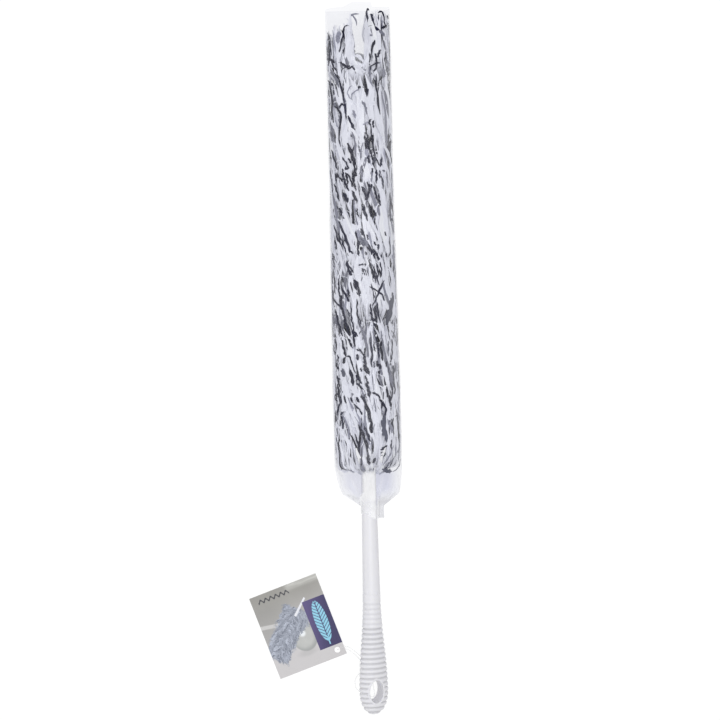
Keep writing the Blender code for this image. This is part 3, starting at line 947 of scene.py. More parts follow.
def strip_ends(batch, tier, around, tips, reach):
    """The stations where each strip starts and ends. There is a gap above the cap."""
    root = np.maximum(tips - TIER_REACH * batch.each(*reach), FIRST_ROOT + batch.each(0, 0.004))
    if tier == LAST_TIER:
        x, _ = section(angle_at(around), np.full_like(around, 0.68), 0.002)
        limit = np.interp(x, TIP_LIMIT_ACROSS, TIP_LIMIT)
        tips = limit - batch.rng.gamma(1.2, 0.006, batch.count)[:, None]
        root = np.minimum(tips - 0.03, batch.each(0.612, 0.630))
    return np.minimum(root, LAST_ROOT), tips


def strip_heading(batch, share, phase, length, curled):
    """Each strip's direction along it, as an angle from straight ahead."""
    each, scatter = batch.each, batch.scatter
    lean = batch.shared(batch.rng.normal(0.115, 0.13, batch.groups))
    heading = lean + scatter(0.08) + scatter(0.24) * (share - 0.5) * 2
    heading = heading + each(0.05, 0.28) * np.sin(phase + share * each(7, 17))
    if curled:
        start = 1 - each(0.007, 0.024) / length
        amount = np.where(each(0, 1) < 0.85, each(1.3, 2.9), each(4.5, 7.0))
        late = np.clip((share - start) / (1 - start), 0, 1)
        heading = heading + amount * batch.rng.choice([-1, 1], batch.count)[:, None] * late**0.8
    return heading


def lay_strips(
    field,
    tier,
    count,
    base,
    spread,
    widths,
    depths,
    curled=False,
    reach=(0.85, 1.25),
    points=16,
    bundle=1,
    weave=0.03,
):
    """Lays strips all round one tier, in bundles. Their depth is a share of the way outwards."""
    batch = Batch(field.rng, count, bundle)
    rng, each, scatter, groups = field.rng, batch.each, batch.scatter, batch.groups
    centres = (rng.permutation(groups) + rng.random(groups)) / groups * PERIMETER
    around = batch.shared(centres) + (scatter(0.0024) if bundle > 1 else 0)
    shift = batch.shared(rng.normal(0, 0.007, groups))
    tips = TIER_TIPS[tier] + (shift + scatter(0.004) if bundle > 1 else scatter(0.007))
    root, tips = strip_ends(batch, tier, around, tips, reach)
    hook = TIER_HOOK * each(0.85, 1.15) if tier == 0 else np.zeros_like(root)
    length = tips - root + hook
    share = np.broadcast_to(np.linspace(0, 1, points), (count, points))
    share = 1 - (1 - share) ** (1.75 if curled else 1.15)
    run = share * length

    phase = each(0, TURN)
    heading = strip_heading(batch, share, phase, length, curled)
    free = np.clip(run - hook, 0, None)
    station = root + np.cumsum(np.cos(heading) * np.diff(free, axis=1, prepend=0), 1)
    drift = np.sin(heading) * np.diff(run, axis=1, prepend=0) * (0.35 + 0.65 * (free > 0))
    length_round = around + np.cumsum(drift, 1)
    if tier == 0:  # these start down towards the handle and hook back over
        part = np.clip(run / hook, 0, 1)
        station = station - each(0.014, 0.024) * np.sin(np.pi * part) ** 0.8
        rise = (1 - np.cos(np.pi * np.minimum(run / (hook * each(0.74, 1.6)), 1))) / 2
    else:
        rise = smoothstep(run / each(0.022, 0.036))
    outer = each(*depths)
    ripple = each(0, weave) * np.sin(phase * 3 + share * length * each(110, 330))
    depth = (ROOT_DEPTH + (outer - ROOT_DEPTH) * rise) * (1 + ripple * rise)

    width = each(*widths) * tapered(share, 0.45, 0.35, 0.20, 0.22)
    width = width * (1 + 0.18 * np.sin(phase * 5 + share * each(5, 14)))
    loose = 1.6 - 1.4 * np.clip((outer - 0.8) / 0.2, 0, 1)
    twist = (scatter(0.34) + scatter(0.45) * np.sin(phase + share * 6)) * loose
    cup = np.broadcast_to(each(-0.15, 0.40), width.shape)
    shades = shades_of(rng, base, count, spread)
    kept = np.ones(count, bool)
    if base is DARK and depths[1] == 1.0:
        low_down = np.sin(angle_at(length_round[:, -1])) < 0.4
        kept = low_down | (rng.random(count) > TIER_THINNED[tier])
    rows = (station, length_round, np.minimum(depth, DEPTH_LIMIT), width, twist, cup, shades)
    field.add(*(values[kept] for values in rows))


# The strips that show most on the upper side: shade, width in mm, and across and station in mm
# for each point along them
MARKED_STRIPS = (
    (PALE, 3.4, -4, 240, -12, 247, -20, 262),
    (PALE, 3.2, -2, 241, -7, 252, -12, 268),
    (PALE, 3.0, 0, 242, -3, 250, -5, 262),
    (PALE, 2.6, 3, 243, 3, 252, 5, 264),
    (PALE, 3.2, 5, 242, 11, 252, 17, 268),
    (PALE, 3.4, 7, 241, 17, 250, 25, 266, 27, 280),
    (PALE, 3.0, 10, 240, 22, 247, 29, 262),
    (SLATE, 3.6, 13.5, 246.5, 18, 244.5, 23, 243.8),
    (SLATE, 0.9, 24, 243, 29.5, 247, 32.5, 255),
    (DARK, 2.2, 4.5, 253, 7, 258),
    (DARK, 2.6, 1, 251, 0, 256, 0, 262),
    (DARK, 1.4, 14, 257, 16.5, 262, 17.5, 268),
    (DARK, 1.4, 12.5, 267, 16.5, 268, 19, 270),
    (DARK, 1.3, 12.2, 265.4, 14.2, 266, 16.3, 265.2),
    (DARK, 1.4, 12.6, 262.4, 14.4, 263.4),
    (DARK, 1.3, 12.9, 259.8, 14.2, 260.6),
    (MID, 1.2, 14, 250, 21, 259, 25.5, 270),
    (DARK, 1.5, -26, 246, -28, 251, -28.5, 265, -29, 278),
    (MID, 1.3, 15, 247, 25, 256, 31, 266, 32.5, 279),
    (DARK, 1.5, -8.5, 262, -9.5, 271, -12.5, 282),
    (DARK, 2.4, 3, 272, 0, 281, -3.5, 290),
    (DARK, 2.8, 0, 262, -1.5, 272, -5, 282, -9, 291),
    (SLATE, 5, 19.5, 273, 17, 281, 16, 289, 17.5, 300),
    (MID, 2, -19, 273, -18.5, 284, -21, 293, -24.5, 301),
    (DARK, 1.5, -5, 299, -7, 305, -13, 311),
    (DARK, 2, 17, 297, 18.5, 305, 15.5, 313),
    (DARK, 3.2, 3.5, 279, 3.5, 291, 1.5, 303, -2.5, 314),
    (DARK, 2.0, -20, 311, -21.5, 315, -22, 319),
    (DARK, 1.6, -14, 312, -16, 318),
    (DARK, 2.2, -8, 312, -10, 318),
    (DARK, 2.6, -7, 320, -3, 316, -1, 311),
    (DARK, 3, 23.5, 307, 22.5, 319),
    (DARK, 1.3, -28.5, 314, -31.5, 316, -31, 320, -28.5, 321, -25.5, 317),
    (DARK, 1.8, 13.5, 316, 10, 320, 5.5, 322),
    (DARK, 2.4, -29.5, 297, -29, 306, -26, 313, -24, 324),
    (DARK, 1.8, -3, 325, -7, 329, -10, 332),
    (DARK, 3, 2.5, 317, 2, 324, -0.5, 332),
    (DARK, 3.6, -7.5, 376, -10.5, 380, -13, 383),
    (DARK, 2.5, -22, 376, -26, 390, -29, 405),
    (DARK, 2.5, -15, 375, -19, 391, -22, 406),
    (DARK, 2.3, 8.5, 390, 6.5, 399, 5.5, 409),
    (DARK, 1.7, 15, 390, 13, 401, 12.5, 410),
    (DARK, 1.4, -5, 386, -7.5, 401, -7, 414),
    (SLATE, 5.5, 21, 388, 26, 404, 28.5, 420),
    (DARK, 1.6, 21, 408, 18, 417, 13.5, 421, 5.5, 426),
    (DARK, 2, -22, 406, -24.5, 408, -30.5, 415, -31.5, 428),
    (DARK, 1.7, 8, 407, 12, 415, 16, 424, 20, 432),
    (DARK, 4.2, -4, 417, -6.5, 424, -9.5, 433),
    (DARK, 1.5, -22, 415, -25, 421, -24.5, 433),
    (DARK, 3, 4.5, 436, 1, 440, -1.5, 444),
    (DARK, 1.5, 1.5, 448, -5, 447),
    (DARK, 1.9, 11.5, 434, 8.5, 440, 6, 449),
    (DARK, 2.8, -11, 436, -14.5, 442, -16.5, 452),
    (PALE, 1.2, -3.5, 458, -4, 464, -2.5, 466, 0, 465),
    (DARK, 2.4, 9, 456, 7.5, 461, 5, 467.5),
    (MID, 5, 6, 465, 1, 470, -4.5, 474),
    (DARK, 2.6, 0.5, 475, -0.5, 479, -1.5, 483),
    (DARK, 2.6, -12, 457, -14, 465, -16.5, 472.5, -19, 480, -23.5, 491),
    (DARK, 1.8, -19.5, 489, -19.5, 498, -21.5, 502, -24, 505),
    (DARK, 3.4, -12.5, 508, -15.5, 513, -18, 519),
    (DARK, 3, 5.5, 511, 3.5, 517, 0, 524),
    (DARK, 2, -22.5, 511, -24.5, 521, -27, 529),
    (DARK, 2, -14.5, 524, -17, 531, -19, 538),
    (DARK, 1.8, 19, 543, 20.5, 553),
    (DARK, 1.6, -11.5, 541, -15, 548, -18.5, 554),
    (DARK, 2.4, -23.5, 542, -26, 552, -29, 563),
    (DARK, 3.2, -5.5, 541, -8.5, 555, -13, 567),
    (DARK, 4, 6, 558, 6, 568, 5, 577),
    (MID, 2, -5.5, 553, -5.5, 568, -8.5, 578),
    (MID, 2.4, -27, 569, -30, 581),
    (DARK, 1.4, 14.5, 549, 12, 566, 10, 585),
    (DARK, 1.8, 14, 581, 12.5, 585, 13.5, 589),
    (DARK, 1.6, 10.5, 583, 9, 587, 11, 590),
    (MID, 1.6, 2.5, 584, 8, 587),
    (DARK, 3, -5.5, 580, -9, 586, -12, 594),
    (MID, 2.2, -4.5, 591, -6.5, 599),
    (DARK, 2, -21.5, 563, -20.5, 579, -19, 595, -21, 601, -25.5, 605),
    (DARK, 1.6, -15, 604, -18, 606, -19.5, 602),
    (MID, 2, 7, 595, 5.5, 602, 2, 608),
    (MID, 1.1, -7.5, 609, -7.5, 614, -4.5, 617, 1, 620),
    (MID, 0.9, -7, 609, -10, 612, -11.5, 616, -10, 621, -7, 623),
    (DARK, 1.7, 20, 591, 18.5, 606, 16.5, 623, 14.5, 630),
    (DARK, 2.6, -25.5, 582, -27.5, 598, -27.5, 611, -29, 627, -31, 633),
    (DARK, 1.8, -16, 608, -17, 619, -20, 630, -24, 638),
    (MID, 4, 24.5, 632, 25, 636, 24.5, 641),
    (DARK, 2.2, -3.5, 645, -6.5, 641, -9.5, 638),
    (MID, 3.6, 6.5, 635, 3, 640, -0.5, 645),
    (DARK, 1.4, 11, 638, 12.5, 642, 17, 645, 21, 646),
    (DARK, 2, -5.5, 643, -9.5, 640, -13.5, 643, -16.5, 646, -19.5, 647),
    (PALE, 4, 4, 634, -1.5, 639, -5.5, 644, -8, 649),
    (DARK, 2.6, -23.5, 648, -26, 650, -27, 652),
    (PALE, 3, 7.5, 639, 5.5, 646, 0, 652, -4, 653),
    (DARK, 2.2, 18.5, 650, 20, 655, 22, 659),
    (DARK, 1.4, -3, 654, -5, 660, -6.5, 665),
    (DARK, 1.6, -15.5, 655, -13, 661, -11.5, 665),
    (DARK, 2, -29.5, 650, -31, 657, -31.5, 668),
    (DARK, 2.4, 10.5, 643, 11.5, 652, 14.5, 662, 16.5, 668),
    (MID, 3, -5.5, 668, -6, 672, -8.5, 675),
    (MID, 5, -20, 666, -20.5, 672, -18, 678),
    (MID, 3.4, 9, 670, 8, 673, 7.5, 678),
    (MID, 3.2, 26.5, 673, 24.5, 676, 21, 679),
    (DARK, 1.6, -19, 655, -17.5, 663, -15, 673, -15.5, 680),
    (DARK, 2, -9.5, 668, -8, 674, -9.5, 683),
    (DARK, 3, 21, 679, 18, 681, 15, 684),
    (DARK, 2.2, 29.5, 687, 26.5, 684, 24, 682),
    (DARK, 2, 17, 682, 15.5, 688, 14.5, 695, 13.5, 698),
    (DARK, 1.2, 31, 695, 29.5, 698),
    (MID, 1.6, -1, 685, -2, 692, -4.5, 696, -6, 697, -3, 698, 2, 698),
    (DARK, 1.8, 29.5, 683, 27, 689, 26.5, 695, 25.5, 700, 23, 701, 21, 699),
    (DARK, 1.6, 10, 686, 9.5, 694, 9, 700, 10.5, 703, 11.5, 701),
    (DARK, 2.4, -32, 375, -32.5, 389, -32.5, 402.5),
    (DARK, 1.6, 11.5, 388.5, 11, 399.5, 10.5, 407.5),
    (DARK, 1.4, -11, 384.5, -13, 394.5, -13.5, 408),
    (DARK, 2.6, -22, 401.5, -23.5, 411, -22, 418.5),
    (DARK, 1.6, -15, 416, -16, 424),
    (DARK, 1.4, -23, 422, -25, 429, -25, 434.5),
    (DARK, 1.6, -20, 430, -21.5, 436.5),
    (DARK, 1.4, -10, 439.5, -14, 446.5),
    (DARK, 1.4, 13.5, 432, 14, 441, 13, 449),
    (DARK, 1.6, 10.5, 432, 8.5, 441, 6.5, 449),
    (DARK, 1.4, 16.5, 434.5, 17.5, 442.5, 16, 450),
    (DARK, 1.8, 15.5, 450, 13, 457, 10, 462.5),
    (DARK, 1.8, -24.5, 469.5, -26, 479, -28.5, 488.5),
    (DARK, 1.6, -7.5, 486.5, -9, 493.5, -10.5, 499),
    (DARK, 1.4, -17.5, 492.5, -20, 496.5, -22, 502.5),
    (DARK, 1.3, -3, 493, -5, 498.5, -5, 503),
    (DARK, 1.3, 3, 493, 1, 501, -0.5, 506.5),
    (DARK, 1.4, 8.5, 493, 7.5, 500.5, 6.5, 506.5),
    (DARK, 1.8, 5.5, 488.5, 3.5, 496.5, 1.5, 506.5),
    (DARK, 1.6, 18.5, 504.5, 17, 511, 16.5, 517.5),
    (DARK, 2.2, -4.5, 507.5, -7, 514.5, -9.5, 520.5),
    (DARK, 1.6, 15, 510, 13.5, 517.5, 11.5, 524.5),
    (DARK, 2.4, 3.5, 510.5, 6.5, 516.5, 8, 524.5),
    (DARK, 1.6, -12, 518, -15, 526.5, -17.5, 534.5),
    (DARK, 1.6, -8.5, 522.5, -10.5, 530.5, -13.5, 537.5),
    (DARK, 2, -7, 527, -8.5, 533.5, -6.5, 539),
    (DARK, 1.4, -31.5, 371, -31.5, 365.5, -30.5, 360),
    (DARK, 2.2, -23.5, 377, -22, 368, -20.5, 362, -20, 358),
    (DARK, 1.6, -28, 361, -27.5, 356.5, -28, 352),
    (DARK, 1.8, -29, 352, -28.5, 347.5, -27, 346),
    (DARK, 1.6, -17, 377, -15, 371.5, -13, 366),
    (DARK, 1.5, -20, 358, -16.5, 358, -14.5, 354, -13.5, 349, -10, 341),
    (DARK, 2.6, -20.5, 358, -21.5, 354, -21.5, 351),
    (DARK, 2.2, -10, 340, -8, 336, -4.5, 331),
    (SLATE, 3.6, -24, 346, -22.5, 342, -22, 338),
    (DARK, 3, -15.5, 347, -15, 341, -13.5, 335, -13.5, 329),
    (DARK, 1.4, -5.5, 347, -4.5, 342.5),
    (DARK, 2.4, -0.5, 360, -1.5, 354, 0.5, 348),
    (DARK, 4, -2, 350, 0, 345, 3, 340),
    (DARK, 1.6, -1, 339, 0.5, 334, 2, 330),
    (DARK, 2, 4.5, 376, 5, 368, 6.5, 361, 5.5, 353, 5.5, 347),
    (DARK, 1.2, 8, 373, 8.5, 366, 9.5, 362),
    (DARK, 2.2, 15.5, 375, 15, 367, 16, 359, 16.5, 353),
    (DARK, 1.5, 13, 371, 12.5, 364, 13, 356),
    (SLATE, 1.3, 8, 353, 8, 346),
    (DARK, 1.8, 11, 353, 11.5, 347),
    (DARK, 2.4, 13.5, 350, 14.5, 345),
    (DARK, 1.5, 14, 343.5, 12.5, 342, 13.5, 340),
    (DARK, 1.3, 20.5, 353, 20, 347),
    (DARK, 1.3, 26.5, 377, 26.5, 368, 26, 359, 25.5, 354),
    (SLATE, 1.2, 23, 374, 22.5, 366, 22, 357),
    (SLATE, 1.4, 22.5, 349, 22, 343, 23.5, 339),
    (SLATE, 2.2, 26, 350, 27.5, 344, 27, 335, 27.5, 326),
    (MID, 1.2, 30.5, 352, 31, 342),
    (DARK, 1.5, -9.5, 365, -6.5, 363.5, -4.5, 364.5),
    (DARK, 2.2, -8.5, 360, -8, 354),
    (DARK, 1.6, -29, 340, -28, 336.5, -25.5, 335.5),
    (DARK, 1.6, -28.5, 332, -28.5, 326),
    (DARK, 1.6, -24.5, 539.5, -22.5, 535.5, -20, 532, -18, 529.5),
    (DARK, 3, -26, 537.5, -23, 534.5),
    (DARK, 1.5, -18.5, 543, -18, 539, -17, 533.5),
    (DARK, 1.8, -16, 545, -15, 542, -12.5, 542),
    (DARK, 2, -15.5, 539.5, -14.5, 533.5, -13.5, 527),
    (DARK, 3.4, -7, 553, -6.5, 545, -6, 537, -4.5, 534.5),
    (DARK, 1.4, -13, 553, -11, 549.5, -10, 547),
    (DARK, 1.4, -7.5, 529, -6.5, 524.5, -5.5, 520),
    (DARK, 2.2, 7.5, 557, 7.5, 550, 8, 546.5),
    (SLATE, 2.6, 14, 553, 13, 547),
    (SLATE, 1.4, 18.5, 541, 18, 532),
    (DARK, 1.3, 11, 542.5, 11, 537.5),
    (DARK, 2, 15, 540.5, 15, 534.5, 14.5, 527),
    (DARK, 2, 8, 526, 7.5, 523),
    (DARK, 1.6, 10, 526.5, 9.5, 522.5),
    (SLATE, 1.8, 20.5, 531.5, 21, 526.5, 21, 521),
    (MID, 1.4, 25, 541.5, 25.5, 531.5, 26, 523),
    (MID, 1.6, -0.5, 546, 0, 536, 0.5, 530),
    (SLATE, 1.8, 21, 540.5, 23.5, 539.5),
    (DARK, 1.5, -23.5, 477.5, -21, 472.5, -19.5, 467.5, -17, 461.5, -15, 456.5),
    (DARK, 1.4, -12.5, 461.5, -10, 458.5),
    (DARK, 2, -5, 474.5, -5, 468, -5, 461, -4.5, 456),
    (SLATE, 3.6, -4, 474, -1, 470.5, 2, 466),
    (DARK, 2.2, -2, 465.5, -2, 461.5),
    (DARK, 1.8, 9.5, 462, 10.5, 457, 11, 453),
    (DARK, 1.8, 14, 460, 14, 455, 16, 452),
    (DARK, 1.5, 2, 460, 3.5, 457),
    (DARK, 1.5, 11, 470, 12.5, 466),
    (SLATE, 2.2, 15, 467.5, 15, 463),
    (SLATE, 1.3, 26.5, 475.5, 26.5, 467.5, 27, 461, 25, 455),
    (DARK, 1.2, 23, 459, 23, 455),
    (DARK, 1.5, -27.5, 467, -26.5, 464),
    (DARK, 1.3, 21.5, 480.5, 23, 475.5),
    (DARK, 1.3, 4, 477.5, 5, 471.5),
    (MID, 2, 29.5, 458, 30, 453),
)
MARKED_POINTS = 18
MARKED_WIDTH = 0.00105  # metres for each mm in a row, with 5% more for the taper
MARKED_LAYER = 0.003  # between marked strips that cross, as a share of the way out


def marked_depth(x, station, share, number, pale_root):
    """How far out a marked strip lies along it. Those in front of the cap lie deeper."""
    if abs(x.mean()) < 0.009 and station.mean() > 0.634:
        return 0.76 + 0.14 * ease(share, 0, 0.3)
    if pale_root:
        return 0.45 + 0.55 * ease(share, 0, 0.75)
    depth = 0.965 + 0.035 * ease(share, 0, 0.2) - 6 * np.maximum(0.250 - station, 0)
    return depth - MARKED_LAYER * (number % 3)


def lay_marked_strips(field, tier):
    """Adds the marked strips whose upper ends are within this tier."""
    low = TIER_TIPS[tier - 1] if tier else 0
    high = TIER_TIPS[tier] if tier < LAST_TIER else 1
    rng = field.rng
    share = np.linspace(0, 1, MARKED_POINTS)
    for number, (base, wide, *places) in enumerate(MARKED_STRIPS):
        line = np.reshape(places, (-1, 2)) / 1000
        if not low <= line[:, 1].max() < high:
            continue
        x, station = smooth_line(line, share)
        x = x + 0.0003 * np.sin(rng.uniform(0, TURN) + share * rng.uniform(12, 24))
        shell = np.interp(station, SLEEVE_STATIONS, SLEEVE_HALF_WIDTHS) - STRIP_CLEARANCE
        depth = marked_depth(x, station, share, number, base is PALE and tier == 0)
        angle = np.arccos(np.clip(x / (shell * depth), -0.995, 0.995))
        length_round = np.interp(angle, ROUND_ANGLES, ROUND_LENGTHS)
        wave = 1 + 0.20 * np.sin(rng.uniform(0, TURN) + share * rng.uniform(8, 20))
        wave = wave + rng.normal(0, 0.05, MARKED_POINTS)
        width = wide * MARKED_WIDTH * tapered(share, 0.35, 0.25, 0.35, 0.2) * wave
        twist = rng.normal(0, 0.08) + 0.12 * np.sin(rng.uniform(0, TURN) + share * 7)
        cup = np.full_like(x, rng.uniform(-0.1, 0.2))
        rows = [values[None] for values in (station, length_round, depth, width, twist, cup)]
        field.add(*rows, shades_of(rng, base, 1, 0.25), parted=False)


def smooth_line(points, share):
    """Each coordinate at each share of the way along a smooth curve through the points."""
    padded = np.concatenate([[2 * points[0] - points[1]], points, [2 * points[-1] - points[-2]]])
    spans = len(points) - 1
    place = np.clip(share * spans, 0, spans - 1e-6)
    first = place.astype(int)
    t = (place - first)[:, None]
    p0, p1, p2, p3 = (padded[first + i] for i in range(4))
    bend = (2 * p0 - 5 * p1 + 4 * p2 - p3) * t**2 + (3 * p1 - p0 - 3 * p2 + p3) * t**3
    return (0.5 * (2 * p1 + (p2 - p0) * t + bend)).T


def make_strips(material):
    """Fills each tier: pale and dark strips deep in it, then those on top, the curled ends last."""
    for tier, (darks, deep_darks) in enumerate(zip(TIER_DARKS, TIER_DEEP_DARKS)):
        field = StripField(STRIP_SEED + tier)
        lay = functools.partial(lay_strips, field, tier)
        fine = 0.6 if tier == 0 else 1.0
        pale, slim = (0.0026 * fine, 0.0060 * fine), (0.0010, 0.0023)
        lay(64, 0.95 * PALE, 0.08, (0.004, 0.008), (0.72, 0.90), points=12)
        lay(deep_darks, DARK, 0.5, (0.002, 0.005), (0.74, 0.93), points=12)
        lay(round(112 / fine), PALE, 0.08, pale, (0.89, 1.0), weave=0.035)
        lay(18, MID, 0.40, (0.0016, 0.0042), (0.89, 1.0), bundle=2, weave=0.05)
        lay(darks, DARK, 0.5, slim, (0.93, 1.0), reach=(0.4, 1.0), bundle=3, weave=0.07)
        lay(30, PALE, 0.05, (0.0008, 0.0020), (0.95, 1.0), True, (0.9, 1.2), 36, 2)
        lay(24, DARK, 0.4, (0.0013, 0.0027), (0.94, 1.0), True, (0.28, 0.6), 36, 3)
        lay_marked_strips(field, tier)
        field.make(f"feather_strips_{tier + 1:02d}", f"feather_tier_{tier + 1:02d}", material)


# ---------------------------------------------------------------- sleeve film


def ridge(x, y, fold):
    """A fold's share of its height at each point, from 0 away from it to 1 on its line."""
    x0, y0, x1, y1, thin, _ = fold
    length = math.hypot(x1 - x0, y1 - y0)
    ahead_x, ahead_y = (x1 - x0) / length, (y1 - y0) / length
    along = (x - x0) * ahead_x + (y - y0) * ahead_y
    across = (x - x0) * ahead_y - (y - y0) * ahead_x
    ends = ease(along, 0, 0.25 * length) * ease(along, length, -0.25 * length)
    return np.exp(-((across / thin) ** 2)) * ends


def film_form(angle, station, closed):
    """x and z of the smooth film, from the open tube to the neck that is closed round the shaft."""
    x, z = section(angle, np.maximum(station, NECK_TOP), FILM_INSET)
    left, right = (np.interp(station, NECK_STATIONS, side) for side in (NECK_LEFT, NECK_RIGHT))
    in_neck, half = station < NECK_TOP, np.where(x < 0, left, right)
    full = SLEEVE_HALF_WIDTHS[0] - FILM_INSET
    x = np.where(in_neck, half * ((x / full) * (1 - closed) + np.cos(angle) * closed), x)
    # beside the shaft the two layers of film are pressed together
    pinch = 1 - 0.93 * ease(np.abs(x), 0.0080, 0.0022) * ease(station, 0.222, -0.014)
    gathered = AXIS_HEIGHT + NECK_BODY * np.sin(angle) * pinch
    return x, np.where(in_neck, z * (1 - closed) + gathered * closed, z)


def crease_push(angle, station):
    """How far random creases and slow waves push each point outwards."""
    rng = np.random.default_rng(FILM_SEED)
    push = np.zeros_like(station)
    length_round = np.interp(angle, ROUND_ANGLES, ROUND_LENGTHS)
    for _ in range(FILM_CREASES):
        centre_round = rng.uniform(0, PERIMETER)
        centre_station = rng.uniform(0.225, 0.715)
        lean = rng.normal(0, 0.5)
        long, thin = rng.uniform(0.008, 0.045), rng.uniform(0.0006, 0.0020)
        height = rng.uniform(0.0001, 0.00042) * rng.choice([-1, 1])
        gap = (length_round - centre_round + PERIMETER / 2) % PERIMETER - PERIMETER / 2
        rise = station - centre_station
        along = gap * math.sin(lean) + rise * math.cos(lean)
        across = gap * math.cos(lean) - rise * math.sin(lean)
        push += height * np.exp(-((across / thin) ** 2)) * (1 - smoothstep(np.abs(along) / long))
    return push + 0.00022 * np.sin(3 * angle + station * 60) * np.sin(station * 41)


def pleat_depth(x, angle, station, closed):
    """How deep the pleats of the gathered neck are at each point."""
    crimp = np.abs(np.sin(8.5 * angle + 1.2 * np.sin(2 * angle) + 3 * np.sin(angle)))
    pleats = closed * (1 - 0.85 * ease(station, 0.226, -0.012))
    pleats *= 1 - 0.7 * ease(x, 0.0080, 0.002) * ease(station, 0.218, -0.004)
    return 0.0013 * pleats * (1 - crimp) ** 1.5


def film_ends(x, z, angle, station):
    """Shapes the open mouth, which is flat but for one bump, and the tail. Gives z and station."""
    upper, lower = np.sin(angle) > 0, np.sin(angle) < 0
    bump = ease(x, -0.0160, 0.012) * (1 - ease(x, 0.0135, 0.0016)) * upper
    z = z * (1 - 0.35 * ease(station, 0.690, 0.021) * (1 - bump))
    mouth = 0.7078 + 0.0002 * ease(x, 0, 0.02) + 0.0028 * bump
    mouth += 0.0004 * np.sin(3 * angle + 1) - 0.0008 * lower
    stretch = (mouth - NECK_TOP) / (TOTAL_LENGTH - NECK_TOP)
    station = NECK_TOP + (station - NECK_TOP) * np.where(station < NECK_TOP, 1, stretch)
    station = station + 0.0050 * ease(station, NECK_TIE, -0.008) * ease(x, 0.006, -0.010)
    return np.maximum(z, FILM_FLOOR), station


def film_looks(x, station, upper, push, marks):
    """The film's haze with its painted sheen, the painted shade in the pockets (a violet tint) and
    smoke at each point, for its material.
    """
    pocket = ease(station, 0.247, -0.006) * upper
    open_part = ease(station, 0.2175, 0.007)  # of the neck, above where it is tied
    reach = 0.0092 - 0.0028 * open_part * (x < -0.0010)
    over_shaft = pocket * ease(np.abs(x + 0.0010), reach, -0.0034)
    milky = 0.26 + 0.56 * ease(station, 0.211, 0.010) + 0.30 * ease(x, 0, 0.003)
    # the haze is partly real milky film, and partly a painted sheen on the upper right side that
    # stands in for washed-out reflections there
    haze = 0.010 + 0.09 * ease(x, 0.017, 0.012) * upper + over_shaft * np.minimum(milky, 0.82)
    haze += 0.10 * ease(station, 0.213, -0.006) + 0.10 * marks
    haze += np.clip(np.abs(push) * 90, 0, 0.10)
    haze += 0.04 * np.exp(-(((np.abs(x) - 0.0326) / 0.0006) ** 2)) * (station > 0.26)

    # painted shade in the pockets beside the shaft and over the shaft's right edge, given as a
    # violet tint of the film
    on_left = ease(x, -0.030, 0.012) * ease(x, 0.0022 * open_part - 0.0070, -0.003)
    on_left *= ease(station + 0.75 * x, 0.2045, 0.010)
    on_right = ease(x, 0.0060, 0.003) * ease(x, 0.031, -0.014) * ease(station, 0.214, 0.014)
    beside = ease(x, 0.0045, 0.002) * ease(x, 0.0125, -0.003) * ease(station, 0.206, 0.008)
    tint = pocket * np.clip(0.95 * on_left + 1.5 * on_right + 1.0 * beside, 0, 1.45)
    smoke = ease(station, 0.218, -0.006) * ease(x, 0.0075, 0.001)
    return {"tint": tint, "haze": haze, "smoke": smoke}


def make_sleeve(material):
    """The whole sleeve as one film: its gathered neck, the tube and the open mouth."""
    rows = np.linspace(NECK_STATIONS[0], NECK_TOP, NECK_ROWS, endpoint=False)
    rows = np.concatenate([rows, np.linspace(NECK_TOP, TOTAL_LENGTH, FILM_ROWS)])
    angle, station = np.meshgrid(angles_round(FILM_SIDES), rows)
    out_x, out_z = np.cos(angle), np.sin(angle)
    in_neck = station < NECK_TOP
    closed = ease(station, NECK_TOP, NECK_CLOSED - NECK_TOP)
    x, z = film_form(angle, station, closed)
    lifts = [ridge(x, station, fold) * (out_z > 0) for fold in FOLDS]
    push = crease_push(angle, station) - pleat_depth(x, angle, station, closed)
    push += sum(fold[-1] * lift for fold, lift in zip(FOLDS, lifts))
    x = x + push * out_x * np.where(in_neck, 0.4, 1.0)
    z = z + push * np.where(in_neck, np.sign(out_z) * np.sqrt(np.abs(out_z)), out_z)
    z = np.clip(lowered(z, station), FILM_FLOOR, SLEEVE_HEIGHT + 0.0006)
    z, station = film_ends(x, z, angle, station)
    points = np.stack([x, station - TOTAL_LENGTH / 2, z], -1).reshape(-1, 3)
    film = add_mesh("sleeve_film", points, grid_faces(len(rows), FILM_SIDES), material)
    outward(film)
    looks = film_looks(x, station, ease(out_z, -0.2, 0.3), push, sum(lifts))
    for name, values in looks.items():
        add_values(film.data, name, values)
    film.visible_shadow = film.visible_diffuse = film.visible_glossy = False
    set_piece(film, "sleeve", "clear_film", "sleeve_tube", "sleeve_neck")
    return film


# ---------------------------------------------------------------- string


def even_route(points, step):
    """Points at even steps along a smooth curve through the given ones."""
    fine = smooth_line(points, np.linspace(0, 1, 20 * (len(points) - 1) + 1))
    lengths = np.cumsum(np.linalg.norm(np.diff(fine, prepend=fine[:, :1]), axis=0))
    even = np.linspace(0, lengths[-1], round(lengths[-1] / step) + 1)
    return np.stack([np.interp(even, lengths, values) for values in fine], -1)


def make_string(material):
    curve = bpy.data.curves.new("loop_string", "CURVE")
    curve.dimensions = "3D"
    curve.bevel_depth = STRING_RADIUS
    curve.bevel_resolution = 4
    curve.use_fill_caps = True
    route = even_route(np.array([at(*place) for place in STRING_ROUTE]), STRING_STEP)
    line = curve.splines.new("POLY")
    line.points.add(len(route) - 1)
    for spot, (x, y, z) in zip(line.points, route):
        spot.co = (x, y, max(z, STRING_FLOOR), 1)
    curve.materials.append(material)
    string = link("loop_string", curve)
    set_piece(string, "tag_loop", "string_nylon", "tag_string")
    return string


# ---------------------------------------------------------------- studio


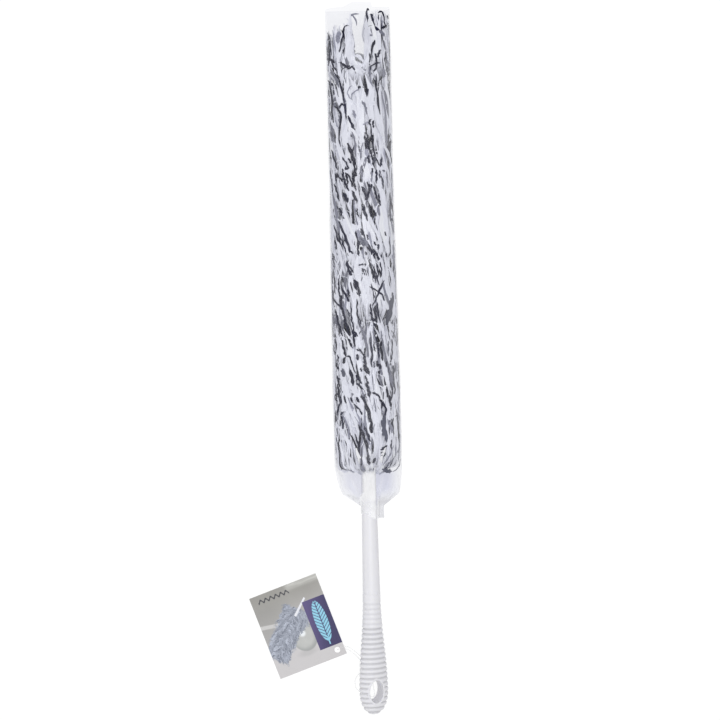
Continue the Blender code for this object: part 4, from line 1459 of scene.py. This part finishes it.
def make_camera():
    data = bpy.data.cameras.new("camera")
    data.lens = 65
    data.sensor_width = 36
    camera = link("camera", data)
    camera.location = (-0.00576, -0.0013, 1.315)
    camera.rotation_euler = (0, 0, -0.0244)
    bpy.context.scene.camera = camera


def area_light(name, place, target, size, power):
    data = bpy.data.lights.new(name, "AREA")
    data.shape = "DISK"
    data.size = size
    data.energy = power
    light = link(name, data)
    light.location = place
    light.rotation_euler = (Vector(target) - Vector(place)).to_track_quat("-Z", "Y").to_euler()


def make_floor():
    """A wide pale floor that looks white to the camera but lights the object less."""
    g = Graph("floor_white")
    pale = g.mix(g.noise(g.place(), 3.0, 2), (0.22, 0.22, 0.222), (0.24, 0.24, 0.242))
    plain = g.node("BsdfDiffuse", {"Color": pale}).outputs[0]
    glow = {"Color": (1, 1, 1), "Strength": g.ramp(g.seen_directly(), 0.42, 0.83)}
    glow = g.node("Emission", glow).outputs[0]
    g.replace_shader(g.node("AddShader", {0: plain, 1: glow}).outputs[0])
    corners = ((-1, -1), (1, -1), (1, 1), (-1, 1))
    points = [(FLOOR_SIDE * x, FLOOR_SIDE * y, FLOOR_HEIGHT) for x, y in corners]
    add_mesh("floor", points, [(0, 1, 2, 3)], g.material)


def make_studio():
    scene = bpy.context.scene
    scene.view_settings.view_transform = "Standard"
    scene.view_settings.look = "None"
    scene.world = bpy.data.worlds.new("studio")
    scene.world.use_nodes = True
    sky = Nodes(scene.world.node_tree)
    background = sky.tree.nodes["Background"]
    sky.put(background.inputs["Color"], (0.985, 0.99, 1.0))
    sky.put(background.inputs["Strength"], sky.ramp(sky.seen_directly(), 0.595, 1.02))
    area_light("overhead", (0.10, 0.10, 2.0), (0, 0, 0), 1.6, 17)
    area_light("side", (-1.5, -0.2, 0.60), (0, 0, 0.02), 1.1, 2.2)
    make_floor()


# ---------------------------------------------------------------- assembly

make_camera()
clear_nylon = nylon()
string = make_string(clear_nylon)
lock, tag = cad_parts["string_lock"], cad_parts["tag_card"]

white = (0.80, 0.795, 0.83), (0.835, 0.83, 0.86)
handle_plastic = moulded_plastic("handle_plastic", *white, 0.36, grooved=True)
shaft_plastic = moulded_plastic("shaft_plastic", *white, 0.34)
cap_plastic = moulded_plastic("cap_plastic", (0.70, 0.71, 0.75), (0.86, 0.87, 0.90), 0.40)
rod_plastic = moulded_plastic("rod_plastic", (0.60, 0.60, 0.62), (0.70, 0.70, 0.72), 0.45)
make_grip(handle_plastic)
make_shaft(shaft_plastic)
make_cap(cap_plastic)
make_strips(strip_film())
film = make_sleeve(clear_film())

paint(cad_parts["core_rod"], rod_plastic)
paint(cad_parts["fringe_hem"], hem_film())
metal = ring_metal()
paint(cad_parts["lower_retaining_ring"], metal)
paint(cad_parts["upper_retaining_ring"], metal)
paint(lock, clear_nylon)
paint(tag, tag_print())
make_studio()
